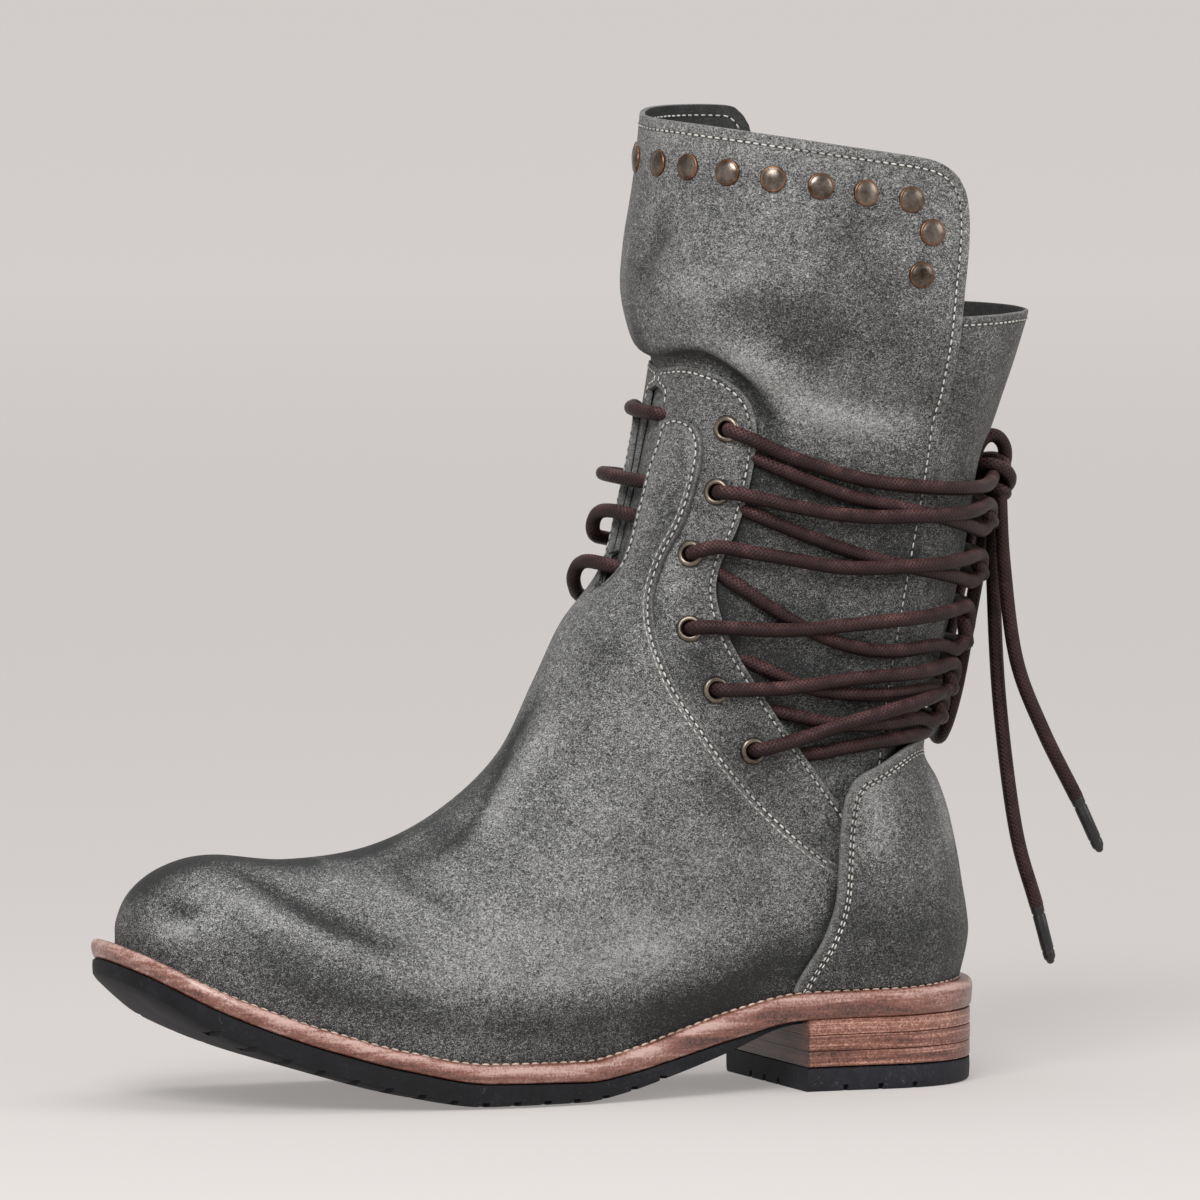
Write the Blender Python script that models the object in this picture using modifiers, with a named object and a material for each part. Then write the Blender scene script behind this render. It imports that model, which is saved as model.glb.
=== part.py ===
"""Left lace-up boot: lasted upper on a stacked-heel welted sole, soft shaft laced round the back."""
import math

import bmesh
import bpy
import numpy as np
from mathutils import Vector

# Tables and sizes are in millimetres; MM turns them into metres when a mesh is made.
MM = 0.001
CENTRE_X = 9.8
CENTRE_Y = 0.0

# Walls and the gap between neighbouring pieces
GAP = 0.35
UPPER_WALL = 1.8
COUNTER_WALL = 1.6
EYESTAY_WALL = 1.5
SHAFT_WALL = 1.7
GUSSET_WALL = 1.5
INSOLE_THICKNESS = 3.0

# How far each leather layer's outer face lies outside (+) or inside (-) the lasted surface
COUNTER_OUT = GAP + COUNTER_WALL
EYESTAY_OUT = -(UPPER_WALL + GAP)
SHAFT_OUT = EYESTAY_OUT - EYESTAY_WALL - 2 * GAP
GUSSET_OUT = -(SHAFT_WALL + GAP)

# Sole and heel
SOLE_LENGTH_TOE = -130.7
SOLE_LENGTH_HEEL = 134.5
FEATHER_TOE_Z = 47.6
FEATHER_HEEL_Z = 31.8
HEEL_BREAST_X = 75.5
TOP_LIFT_HEIGHT = 7.2
LEATHER_LIFTS = 3
FLAT_FROM_X = -32.0
FLAT_TO_X = 0.0
LUG_WIDTH = 2.4
LUG_HEIGHT = 2.0
LUG_PITCH = 10.0
LUG_REACH = 15.0

# Shape detail of the loft
HALF_COLUMNS = 15
FOOT_SECTIONS = 6
SOLE_STATIONS = 24

# Fittings
FITTING_LIFT = 0.55
EYELET_HOLE = 2.4
EYELET_PROFILE = ((3.1, 1.15), (4.0, 0.75), (4.2, 0.0), (2.35, 0.0), (2.35, 0.8))
STUD_PROFILE = ((0.0, 2.5), (2.0, 2.1), (3.4, 1.1), (4.0, 0.0), (0.0, 0.0))
FITTING_STEPS = 8
STUD_PITCH = 14.3
STUD_BELOW_EDGE = 13.3
LACE_RADIUS = 2.2
LACE_LIFT = LACE_RADIUS + 0.9
LACE_OVER_FACING = LACE_LIFT + EYESTAY_WALL + 2 * GAP
AGLET_RADIUS = 1.9
AGLET_LENGTH = 18.0

# Sole from toe to heel: underside, rubber thickness, leather band thickness, welt overhang
SOLE = dict(
    columns=("x", "bottom", "rubber", "band", "margin", "edge_lift"),
    rows=(
        (-143.0, 41.0, 6.4, 6.2, 7.2, 1.5),
        (-130.0, 33.2, 7.3, 6.5, 7.0, 2.0),
        (-115.0, 23.6, 8.0, 6.8, 6.6, 2.2),
        (-99.0, 16.4, 8.0, 6.9, 6.2, 2.4),
        (-80.0, 9.8, 7.7, 7.0, 5.8, 2.6),
        (-58.0, 4.0, 7.1, 7.1, 5.6, 2.8),
        (FLAT_FROM_X, 0.0, 6.4, 7.2, 5.6, 2.8),
        (FLAT_TO_X, 0.0, 5.6, 7.6, 5.2, 2.4),
        (14.0, 2.3, 5.2, 8.2, 4.6, 1.6),
        (32.0, 7.4, 4.6, 8.8, 4.2, 0.8),
        (50.0, 13.2, 4.0, 8.9, 4.0, 0.4),
        (HEEL_BREAST_X, 18.8, 3.2, 8.6, 3.8, 0.3),
        (105.0, 19.0, 3.2, 8.7, 4.2, 0.3),
        (128.0, 19.3, 3.2, 9.2, 5.8, 0.3),
        (147.0, 19.4, 3.2, 9.4, 6.6, 0.3),
    ),
)

# Lasted outer surface: a row for each section, from the instep ridge round to the heel's back line
UPPER = dict(
    columns=("front_x", "front_z", "front_r", "back_x", "back_z", "back_r", "dip"),
    rows=(
        (SOLE_LENGTH_TOE, FEATHER_TOE_Z, 38, SOLE_LENGTH_HEEL, FEATHER_HEEL_Z, 31, 1.0),
        (-130.2, 55.0, 38, 136.2, 39.0, 31, 0.93),
        (-125.6, 64.0, 39, 137.2, 46.0, 32, 0.79),
        (-116.0, 71.2, 42, 136.5, 53.0, 32, 0.63),
        (-102.0, 74.6, 45, 135.3, 60.0, 33, 0.46),
        (-78.0, 72.5, 48, 134.0, 68.0, 34, 0.27),
        (-51.5, 76.0, 52, 132.3, 76.0, 35, 0.12),
        (-28.8, 86.3, 52, 130.2, 84.0, 35, 0.03),
        (-10.0, 103.0, 48, 127.2, 92.0, 36, 0.0),
        (2.2, 125.0, 45, 122.5, 102.0, 37, 0.0),
        (11.4, 142.5, 43, 127.5, 116.0, 38, 0.0),
        (24.0, 158.5, 42, 135.0, 134.0, 38, 0.0),
        (29.8, 178.0, 41, 141.0, 158.0, 39, 0.0),
        (34.8, 200.0, 41, 148.0, 187.0, 40, 0.0),
        (40.0, 229.0, 42, 154.0, 212.0, 41, 0.0),
    ),
)

# Foot widths either side of the middle line, which swings to the inner side at the toe
FOOT = dict(
    columns=("x", "middle", "lateral", "medial"),
    rows=(
        (-136.0, 7.0, 39.0, 33.0),
        (-110.0, 6.0, 41.0, 36.0),
        (-80.0, 4.0, 46.0, 41.0),
        (-50.0, 1.5, 49.0, 44.0),
        (-25.0, -0.5, 48.0, 42.5),
        (5.0, -2.0, 43.0, 37.0),
        (35.0, -2.0, 38.0, 32.5),
        (65.0, -1.0, 35.5, 32.5),
        (95.0, 0.0, 35.0, 34.0),
        (142.0, 0.0, 34.5, 34.0),
    ),
)

# Leg half width by height
LEG = dict(
    columns=("z", "half"),
    rows=(
        (60.0, 37.5),
        (95.0, 37.0),
        (120.0, 37.5),
        (150.0, 39.0),
        (180.0, 41.0),
        (210.0, 43.5),
        (240.0, 45.5),
        (305.0, 47.0),
    ),
)
FOOT_TO_LEG_Z = (55.0, 115.0)
FEATHER_TUCK = 2.0
TUCK_HEIGHT = 14.0

# Shaft's outer surface: sections up the leg, with the soft fold over the facings as swell
SHAFT = dict(
    columns=("front_x", "front_z", "front_r", "back_x", "back_z", "back_r", "swell"),
    rows=(
        (-6.5, 100.2, 44, 126.0, 74.0, 36, 0.0),
        (6.0, 123.2, 41, 122.3, 93.0, 35, 0.0),
        (14.8, 139.9, 39, 125.1, 110.0, 36, 0.0),
        (27.2, 156.4, 38, 132.4, 130.0, 36, 0.0),
        (33.7, 176.9, 37, 138.9, 156.0, 37, 0.0),
        (38.8, 199.2, 37, 144.6, 187.0, 38, 0.0),
        (43.4, 222.0, 38, 149.0, 198.0, 40, 0.0),
        (35.8, 229.5, 43, 151.6, 207.0, 42, 5.0),
        (32.0, 240.5, 46, 156.0, 222.0, 44, 8.0),
        (33.0, 256.0, 47, 160.5, 240.0, 46, 8.0),
        (35.6, 274.0, 47, 161.0, 258.0, 47, 6.5),
        (38.5, 303.0, 46, 156.0, 290.0, 47, 4.5),
    ),
)

# Side outlines, x then z; each is drawn smooth through these points
VAMP_EDGE = (
    (35.5, 200.0), (37.6, 203.9), (39.6, 205.2), (42.2, 203.6), (43.9, 198.8), (43.2, 190.5),
    (39.0, 175.0), (33.0, 161.5), (29.2, 149.0), (29.2, 137.8), (33.0, 125.0), (41.0, 112.5),
    (50.5, 100.0), (61.6, 87.8), (74.7, 76.2), (86.0, 68.3),
)
EYESTAY_EDGE = (
    (36.0, 214.0), (39.5, 218.2), (43.0, 220.4), (48.5, 218.8), (54.0, 214.6), (57.3, 209.8),
    (58.7, 202.0), (57.4, 189.0), (53.5, 173.2), (48.6, 162.0), (47.0, 151.5), (51.0, 137.5),
    (61.5, 120.8), (69.9, 109.0), (82.0, 93.0), (92.0, 80.0),
)
EYESTAY_UNDER = (
    (82.0, 62.0), (67.0, 73.0), (53.0, 86.0), (41.0, 99.0), (31.0, 112.0), (23.0, 126.0),
    (17.0, 142.0), (5.0, 158.0),
)
COUNTER_EDGE = (
    (150.0, 104.0), (126.0, 104.5), (114.0, 104.5), (99.0, 98.8), (91.0, 95.3), (87.2, 89.4),
    (85.8, 79.0), (85.3, 66.8), (84.4, 56.8), (80.6, 46.6), (74.6, 36.8), (71.5, 31.5),
)
COLLAR_LATERAL = (
    (-10.0, 295.5), (38.0, 295.3), (54.7, 292.8), (83.7, 288.2), (108.0, 284.3), (119.0, 279.6),
    (124.0, 271.5), (124.2, 260.0), (121.6, 242.0), (119.8, 220.0), (118.4, 200.0), (115.0, 176.0),
    (110.0, 145.0), (106.0, 118.0), (104.0, 95.0), (104.0, 60.0),
)
COLLAR_MEDIAL = (
    (-10.0, 295.5), (38.0, 295.5), (50.0, 297.0), (78.0, 296.4), (86.5, 292.5), (89.5, 283.5),
    (93.0, 265.0), (98.0, 240.0), (104.0, 215.0), (107.0, 190.0), (107.5, 150.0),
    (106.0, 120.0), (104.0, 95.0), (104.0, 60.0),
)
GUSSET_TOP_Z = 235.5
GUSSET_FRONT_X = 80.0
UPPER_TOP_BACK = ((92.0, 69.0), (106.0, 80.0), (122.0, 89.0), (150.0, 91.0))

# Throat slot seen from the front: height and half width, for the facings and for the vamp's fingers
THROAT_FOOT = ((152.0, 0.6), (155.5, 4.6), (162.0, 7.6), (178.0, 8.8))
FACING_SLOT = THROAT_FOOT + ((195.0, 8.4), (209.0, 6.6), (240.0, 5.8))
FINGER_SLOT = THROAT_FOOT + ((190.0, 9.4), (200.0, 11.6), (240.0, 15.0))

# Eyelets of one facing, top to bottom
EYELETS = dict(
    columns=("x", "z"),
    rows=((51.1, 202.2), (48.1, 183.1), (40.9, 164.3), (39.0, 141.9), (45.9, 123.4), (58.1, 104.5)),
)

# Lace runs over the leg, as share of the turn (0 front, 1 back), height and lift off the leather.
# A back run leaves an eyelet on one side and ends under the other facing's back edge.
BACK_RUNS = (
    dict(outer=((0.285, 182.5), (0.49, 176.1), (0.63, 175.4), (0.76, 176.0)), back_z=173.0, lift=3.4,
         inner=((0.78, 171.0), (0.60, 177.5), (0.48, 182.0), (0.34, 190.5))),
    dict(outer=((0.27, 166.5), (0.39, 163.5), (0.52, 160.0), (0.70, 160.5)), back_z=157.5, lift=3.4,
         inner=((0.77, 155.5), (0.58, 161.5), (0.44, 169.0), (0.34, 175.0))),
    dict(outer=((0.33, 142.0), (0.45, 141.5), (0.55, 142.6), (0.72, 145.0)), back_z=140.5, lift=3.4,
         inner=((0.76, 135.0), (0.62, 134.0), (0.49, 140.4), (0.36, 151.5))),
    dict(outer=((0.42, 123.5), (0.50, 123.8), (0.60, 126.0), (0.74, 128.0)), back_z=125.0, lift=3.4,
         inner=((0.80, 121.5), (0.65, 120.5), (0.54, 123.0), (0.475, 127.5))),
    dict(outer=((0.51, 106.3), (0.56, 109.0), (0.64, 112.8), (0.74, 115.2)), back_z=114.5, lift=7.6,
         inner=((0.80, 112.5), (0.68, 111.5), (0.60, 112.0), (0.55, 114.0))),
)
BACK_LIFT = LACE_LIFT + 0.2
BASE_RUN = ((0.635, 104.8), (0.70, 106.2), (0.80, 107.5))
BASE_BACK_Z = 108.5
TOP_RUN = ((0.275, 199.5), (0.38, 192.9), (0.52, 186.3), (0.67, 183.3), (0.80, 182.6), (0.90, 183.2))

# Lace across the throat: height at the outer side and at the inner facing, lift between, end of its turn
FRONT_LIFT = 7.6
FRONT_RUNS = (
    dict(high=205.0, low=205.0, lift=7.8, end=0.165),
    dict(high=184.5, low=184.0, lift=10.0, end=0.175),
    dict(high=167.5, low=165.5, lift=9.0, end=0.155),
    dict(high=160.5, low=143.0, lift=10.0, end=0.20),
)

# Knot, hanging loop and free ends, as points in x, y, z
KNOT_CENTRE = (150.6, 2.5, 184.5)
KNOT_SIZE = (5.5, 8.0, 7.0)
LACE_LOOP = (
    (150.4, 6.2, 177.1), (147.8, 5.0, 158.0), (142.6, 3.5, 134.0), (139.4, 3.0, 119.0),
    (136.6, 4.5, 107.5), (136.2, 10.5, 102.8), (137.0, 16.5, 107.5), (139.6, 18.5, 120.0),
    (143.0, 17.5, 136.0), (147.0, 14.5, 158.0), (150.6, 11.2, 179.7),
)
LACE_END_A = (
    (150.2, 1.2, 177.1), (149.6, -1.0, 158.0), (150.9, -3.0, 117.0), (155.2, -6.0, 76.0),
    (161.4, -8.0, 52.0),
)
LACE_END_B = (
    (150.8, -4.0, 178.2), (150.4, -8.0, 158.0), (154.2, -9.0, 128.0), (162.6, -10.0, 106.0),
    (173.3, -11.0, 85.0),
)
AGLET_TIPS = ((167.0, -8.0, 31.5), (181.4, -11.0, 68.0))

STUDS_LATERAL = 7
STUDS_MEDIAL = 5
STUDS_LATERAL_EDGE = ((110.9, 261.6), (107.1, 248.7))
STUDS_MEDIAL_EDGE = ((81.5, 269.0), (84.5, 255.5))

LEATHER = (0.20, 0.19, 0.18)
BROWN = (0.17, 0.075, 0.045)
RUBBER = (0.02, 0.02, 0.02)
BRASS = (0.35, 0.22, 0.11)
CORD = (0.10, 0.035, 0.03)
FOOTBED = (0.30, 0.22, 0.15)


def column(table, name):
    place = table["columns"].index(name)
    return np.array([row[place] for row in table["rows"]], float)


def by_key(table, key, name, at):
    """A column read against a key column, without overshoot."""
    x = column(table, key)
    y = column(table, name)
    step = np.diff(x)
    rise = np.diff(y) / step
    slope = np.zeros(len(x))
    slope[0] = rise[0]
    slope[-1] = rise[-1]
    same = rise[:-1] * rise[1:] > 0
    mean = 2 * rise[:-1] * rise[1:] / np.where(same, rise[:-1] + rise[1:], 1.0)
    slope[1:-1] = np.where(same, mean, 0.0)
    at = np.clip(np.asarray(at, float), x[0], x[-1])
    i = np.clip(np.searchsorted(x, at) - 1, 0, len(x) - 2)
    u = (at - x[i]) / step[i]
    blend = u * u * (3 - 2 * u)
    pull = step[i] * (slope[i] * u * (1 - u) ** 2 - slope[i + 1] * u * u * (1 - u))
    return y[i] + (y[i + 1] - y[i]) * blend + pull


def smooth_through(values, at):
    """Values met at whole numbers, smooth between them."""
    v = np.asarray(values, float)
    v = np.concatenate([[2 * v[0] - v[1]], v, [2 * v[-1] - v[-2]]])
    at = np.asarray(at, float)
    i = np.clip(at.astype(int), 0, len(v) - 4)
    u = at - i
    a, b, c, d = v[i], v[i + 1], v[i + 2], v[i + 3]
    curve = (2 * a - 5 * b + 4 * c - d) * u * u + (3 * b - a - 3 * c + d) * u * u * u
    return b + 0.5 * ((c - a) * u + curve)


def by_row(table, name, at):
    return smooth_through(column(table, name), at)


def smooth_line(points, each=2):
    at = np.linspace(0, len(points) - 1, (len(points) - 1) * each + 1)
    return [tuple(p) for p in np.stack([smooth_through(k, at) for k in zip(*points)], axis=1)]


def ease(at, low, high):
    u = np.clip((np.asarray(at, float) - low) / (high - low), 0, 1)
    return u * u * (3 - 2 * u)


def feather_z(x):
    bottom = np.maximum(by_key(SOLE, "x", "bottom", x), 0)
    return bottom + by_key(SOLE, "x", "rubber", x) + by_key(SOLE, "x", "band", x)


def chord_dip(x):
    share = (x - SOLE_LENGTH_TOE) / (SOLE_LENGTH_HEEL - SOLE_LENGTH_TOE)
    return feather_z(x) - FEATHER_TOE_Z - (FEATHER_HEEL_Z - FEATHER_TOE_Z) * share


def roundness(x, z, table, end):
    """How near full width a point is: nought on the section's end line, one past its radius."""
    at = np.linspace(0, len(table["rows"]) - 1, 160)
    px = by_row(table, end + "_x", at)
    pz = by_row(table, end + "_z", at)
    radius = by_row(table, end + "_r", at)
    ax, az = px[:-1], pz[:-1]
    dx, dz = np.diff(px), np.diff(pz)
    u = ((x[..., None] - ax) * dx + (z[..., None] - az) * dz) / (dx * dx + dz * dz)
    u = np.clip(u, 0, 1)
    away = np.hypot(x[..., None] - ax - u * dx, z[..., None] - az - u * dz)
    nearest = away.argmin(axis=-1)
    d = np.take_along_axis(away, nearest[..., None], -1)[..., 0]
    share = np.clip(d / radius[nearest], 0, 1)
    return np.sqrt(1 - (1 - share) ** 2)


def half_width(x, z, side):
    foot = np.where(side < 0, by_key(FOOT, "x", "lateral", x), by_key(FOOT, "x", "medial", x))
    tuck = FEATHER_TUCK * (1 - ease(z - feather_z(x), 0, TUCK_HEIGHT))
    up = ease(z, *FOOT_TO_LEG_Z)
    return (foot - tuck) * (1 - up) + by_key(LEG, "z", "half", z) * up


def middle(x, z):
    return by_key(FOOT, "x", "middle", x) * (1 - ease(z, *FOOT_TO_LEG_Z))


def ring(columns=HALF_COLUMNS):
    """Share of the way from front to back and the side, once round."""
    turn = np.pi * np.arange(2 * columns) / columns
    return (1 - np.cos(turn)) / 2, np.where(turn <= np.pi, -1.0, 1.0)


def surface(table, rows, columns=HALF_COLUMNS):
    """Points of a lofted skin, a row of points for each value in rows."""
    share, side = ring(columns)
    at = np.asarray(rows, float)[:, None]
    front_x, front_z = by_row(table, "front_x", at), by_row(table, "front_z", at)
    back_x, back_z = by_row(table, "back_x", at), by_row(table, "back_z", at)
    x = front_x + (back_x - front_x) * share
    z = front_z + (back_z - front_z) * share
    swell = 0.0
    if "dip" in table["columns"]:
        ends = chord_dip(front_x) * (1 - share) + chord_dip(back_x) * share
        z = z + by_row(table, "dip", at) * (chord_dip(x) - ends)
    else:
        swell = by_row(table, "swell", at) + SHAFT_OUT
    side = np.broadcast_to(side, x.shape)
    width = half_width(x, z, side) + swell
    width = width * roundness(x, z, table, "front") * roundness(x, z, table, "back")
    return np.stack([x, middle(x, z) + side * width, z], axis=-1)


def normals(grid):
    """Outward directions of a skin that is closed round each row."""
    round_row = np.roll(grid, -1, axis=1) - np.roll(grid, 1, axis=1)
    up = np.gradient(grid, axis=0)
    out = np.cross(round_row, up)
    return out / np.linalg.norm(out, axis=-1, keepdims=True)


def moved_out(grid, distance):
    return grid + normals(grid) * distance


def place(points):
    shift = np.array([CENTRE_X, CENTRE_Y, 0.0])
    return (np.asarray(points, float) - shift) * MM


def material(name, colour, roughness=0.7, metallic=0.0):
    made = bpy.data.materials.new(name)
    made.use_nodes = True
    shader = made.node_tree.nodes["Principled BSDF"]
    shader.inputs["Base Color"].default_value = (*colour, 1.0)
    shader.inputs["Roughness"].default_value = roughness
    shader.inputs["Metallic"].default_value = metallic
    made.diffuse_color = (*colour, 1.0)
    return made


def collection(name):
    made = bpy.data.collections.new(name)
    bpy.context.scene.collection.children.link(made)
    return made


def new_object(name, mesh, group, skin=None):
    made = bpy.data.objects.new(name, mesh)
    group.objects.link(made)
    if skin:
        mesh.materials.append(skin)
    return made


def mesh_from(name, build):
    """A mesh from the bmesh that build fills in, faces turned outward."""
    bm = bmesh.new()
    build(bm)
    bmesh.ops.recalc_face_normals(bm, faces=bm.faces)
    mesh = bpy.data.meshes.new(name)
    bm.to_mesh(mesh)
    bm.free()
    return mesh


def loft(bm, grid):
    """Faces between neighbouring rows of closed rings."""
    rings = [[bm.verts.new(p) for p in place(row)] for row in grid]
    for low, high in zip(rings, rings[1:]):
        for i in range(len(low)):
            k = (i + 1) % len(low)
            bm.faces.new((low[i], low[k], high[k], high[i]))
    return rings


def shell(name, grid, wall, skin, group):
    """A hollow piece: an open lofted skin with its wall on the inside."""

    def build(bm):
        loft(bm, grid)

    made = new_object(name, mesh_from(name, build), group, skin)
    beside = Vector(place(grid[2, HALF_COLUMNS // 2]))
    outward = Vector(normals(grid)[2, HALF_COLUMNS // 2])
    nearest = min(made.data.polygons, key=lambda face: (face.center - beside).length)
    if nearest.normal.dot(outward) < 0:
        made.data.flip_normals()
    solid = made.modifiers.new("wall", "SOLIDIFY")
    solid.thickness = wall * MM
    solid.offset = -1.0
    solid.use_even_offset = True
    return made


def prism(name, outline, low_y, high_y, group):
    """A side outline drawn across the boot from low_y to high_y."""

    def build(bm):
        face = bm.faces.new([bm.verts.new(place((x, low_y, z))) for x, z in outline])
        across = bmesh.ops.extrude_face_region(bm, geom=[face])
        verts = [v for v in across["geom"] if isinstance(v, bmesh.types.BMVert)]
        bmesh.ops.translate(bm, verts=verts, vec=(0, (high_y - low_y) * MM, 0))

    return cutter(name, mesh_from(name, build), group)


def cutter(name, mesh, group):
    made = new_object(name, mesh, group)
    made.hide_render = True
    made.display_type = "WIRE"
    return made


def boolean(target, tool, operation):
    made = target.modifiers.new(tool.name, "BOOLEAN")
    made.object = tool
    made.operation = operation
    made.solver = "EXACT"


def stations():
    """Feather line of the lasted foot, toe to heel, outer side then inner side."""
    return surface(UPPER, [0.0], SOLE_STATIONS)[0]


def outline_at(margin):
    """Feather line moved out by a margin that may change along the boot."""
    line = stations()[:, :2]
    along = np.roll(line, -1, axis=0) - np.roll(line, 1, axis=0)
    out = np.stack([along[:, 1], -along[:, 0]], axis=1)
    out = out / np.linalg.norm(out, axis=1, keepdims=True)
    if (out[SOLE_STATIONS // 2, 1]) > 0:
        out = -out
    extra = by_key(SOLE, "x", "margin", line[:, 0]) if margin is None else margin
    return line + out * np.reshape(extra, (-1, 1))


def welt_margin(less=0.0):
    return by_key(SOLE, "x", "margin", stations()[:, 0]) - less


def slab(name, levels, skin, group):
    """A sole layer: rings of (margin, height over x), top first, closed by faces across the boot."""

    def build(bm):
        rings = []
        for margin, height in levels:
            line = outline_at(margin)
            rings.append(np.column_stack([line, height(line[:, 0])]))
        loops = loft(bm, rings)
        for loop in (loops[0], loops[-1]):
            count = SOLE_STATIONS
            bm.faces.new((loop[0], loop[1], loop[-1]))
            for i in range(1, count - 1):
                bm.faces.new((loop[i], loop[i + 1], loop[-i - 1], loop[-i]))
            bm.faces.new((loop[count - 1], loop[count], loop[count + 1]))

    return new_object(name, mesh_from(name, build), group, skin)


def rubber_bottom(x):
    return np.maximum(by_key(SOLE, "x", "bottom", x), 0)


def rubber_top(x):
    return rubber_bottom(x) + by_key(SOLE, "x", "rubber", x)


def box(name, low, high, group):
    outline = ((low[0], low[2]), (high[0], low[2]), (high[0], high[2]), (low[0], high[2]))
    return prism(name, outline, low[1], high[1], group)


def slot(name, half_outline, group):
    """The throat's slot, seen from the front."""
    half = smooth_line(half_outline, 2)
    corners = [(y, z) for z, y in half] + [(-y, z) for z, y in reversed(half)]

    def build(bm):
        face = bm.faces.new([bm.verts.new(place((-20.0, y, z))) for y, z in corners])
        across = bmesh.ops.extrude_face_region(bm, geom=[face])
        verts = [v for v in across["geom"] if isinstance(v, bmesh.types.BMVert)]
        bmesh.ops.translate(bm, verts=verts, vec=(95.0 * MM, 0, 0))

    return cutter(name, mesh_from(name, build), group)


def section_rows(table, fine_to=0):
    """Two rows a section over the curved foot, one a section up the leg."""
    last = len(table["rows"]) - 1
    return list(np.arange(0, fine_to, 0.5)) + list(range(fine_to, last + 1))


class Leg:
    """Looks up places on the shaft's outer skin by side, x and height."""

    def __init__(self, table, out):
        rows = np.linspace(0, len(table["rows"]) - 1, 90)
        self.columns = 60
        grid = surface(table, rows, self.columns)
        self.out = normals(grid)
        self.grid = grid + self.out * out

    def at(self, turn, z):
        """Place and outward direction at a share of the turn (0 front, 1 back, sign is the side)."""
        column_at = abs(turn) * self.columns
        low = min(int(column_at), self.columns - 1)
        share = column_at - low
        found = []
        for c in (low, low + 1):
            k = c if turn < 0 else (-c) % (2 * self.columns)
            heights = self.grid[:, k, 2]
            row = np.interp(z, heights, np.arange(len(heights)))
            r = min(int(row), len(heights) - 2)
            u = row - r
            found.append((
                self.grid[r, k] * (1 - u) + self.grid[r + 1, k] * u,
                self.out[r, k] * (1 - u) + self.out[r + 1, k] * u,
            ))
        spot = found[0][0] * (1 - share) + found[1][0] * share
        out = found[0][1] * (1 - share) + found[1][1] * share
        return spot, out / np.linalg.norm(out)

    def turn_at(self, x, z):
        """Share of the turn where the skin passes x at this height."""
        turns = np.linspace(0.02, 0.98, 120)
        xs = [self.at(-t, z)[0][0] for t in turns]
        return float(np.interp(x, xs, turns))


def turned(name, profile, skin, group, spot, out):
    """A turned fitting stood on a skin; a profile that stays off the axis closes to a ring."""
    mesh = bpy.data.meshes.new(name)
    verts = [(r * MM, 0.0, z * MM) for r, z in profile]
    edges = [(i, i + 1) for i in range(len(verts) - 1)]
    if profile[0][0] > 0:
        edges.append((len(verts) - 1, 0))
    mesh.from_pydata(verts, edges, [])
    made = new_object(name, mesh, group, skin)
    screw = made.modifiers.new("turn", "SCREW")
    screw.axis = "Z"
    screw.angle = 2 * math.pi
    screw.steps = FITTING_STEPS
    screw.render_steps = FITTING_STEPS
    screw.use_merge_vertices = True
    screw.merge_threshold = 0.00001
    made.location = place(spot)
    made.rotation_mode = "QUATERNION"
    made.rotation_quaternion = Vector(out).to_track_quat("Z", "Y")
    return made


def cord(name, path, radius, skin, group, resolution=2):
    """A round cord along a path of points."""
    curve = bpy.data.curves.new(name, "CURVE")
    curve.dimensions = "3D"
    curve.bevel_depth = radius * MM
    curve.bevel_resolution = resolution
    curve.use_fill_caps = True
    line = curve.splines.new("POLY")
    line.points.add(len(path) - 1)
    for point, p in zip(line.points, place(path)):
        point.co = (*p, 1.0)
    made = bpy.data.objects.new(name, curve)
    group.objects.link(made)
    curve.materials.append(skin)
    return made


def lace_run(leg, stops, count):
    """Points of a lace run over the leg: stops are (turn, height, lift), the outer side's turns negative."""
    at = np.linspace(0, len(stops) - 1, count)
    turns = smooth_through([s[0] for s in stops], at)
    heights = smooth_through([s[1] for s in stops], at)
    lifts = smooth_through([s[2] for s in stops], at)
    path = []
    for turn, z, lift in zip(turns, heights, lifts):
        if abs(turn) > 1:
            turn = math.copysign(2 - abs(turn), -turn)
        spot, out = leg.at(turn, z)
        path.append(spot + out * lift)
    return path


def mirrored(path):
    return [np.array((x, -y, z)) for x, y, z in path]


def solid_from(cord_object):
    """A cord turned into a plain mesh, to be joined with others."""
    mesh = bpy.data.meshes.new_from_object(cord_object)
    bpy.data.objects.remove(cord_object, do_unlink=True)
    return mesh


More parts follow.
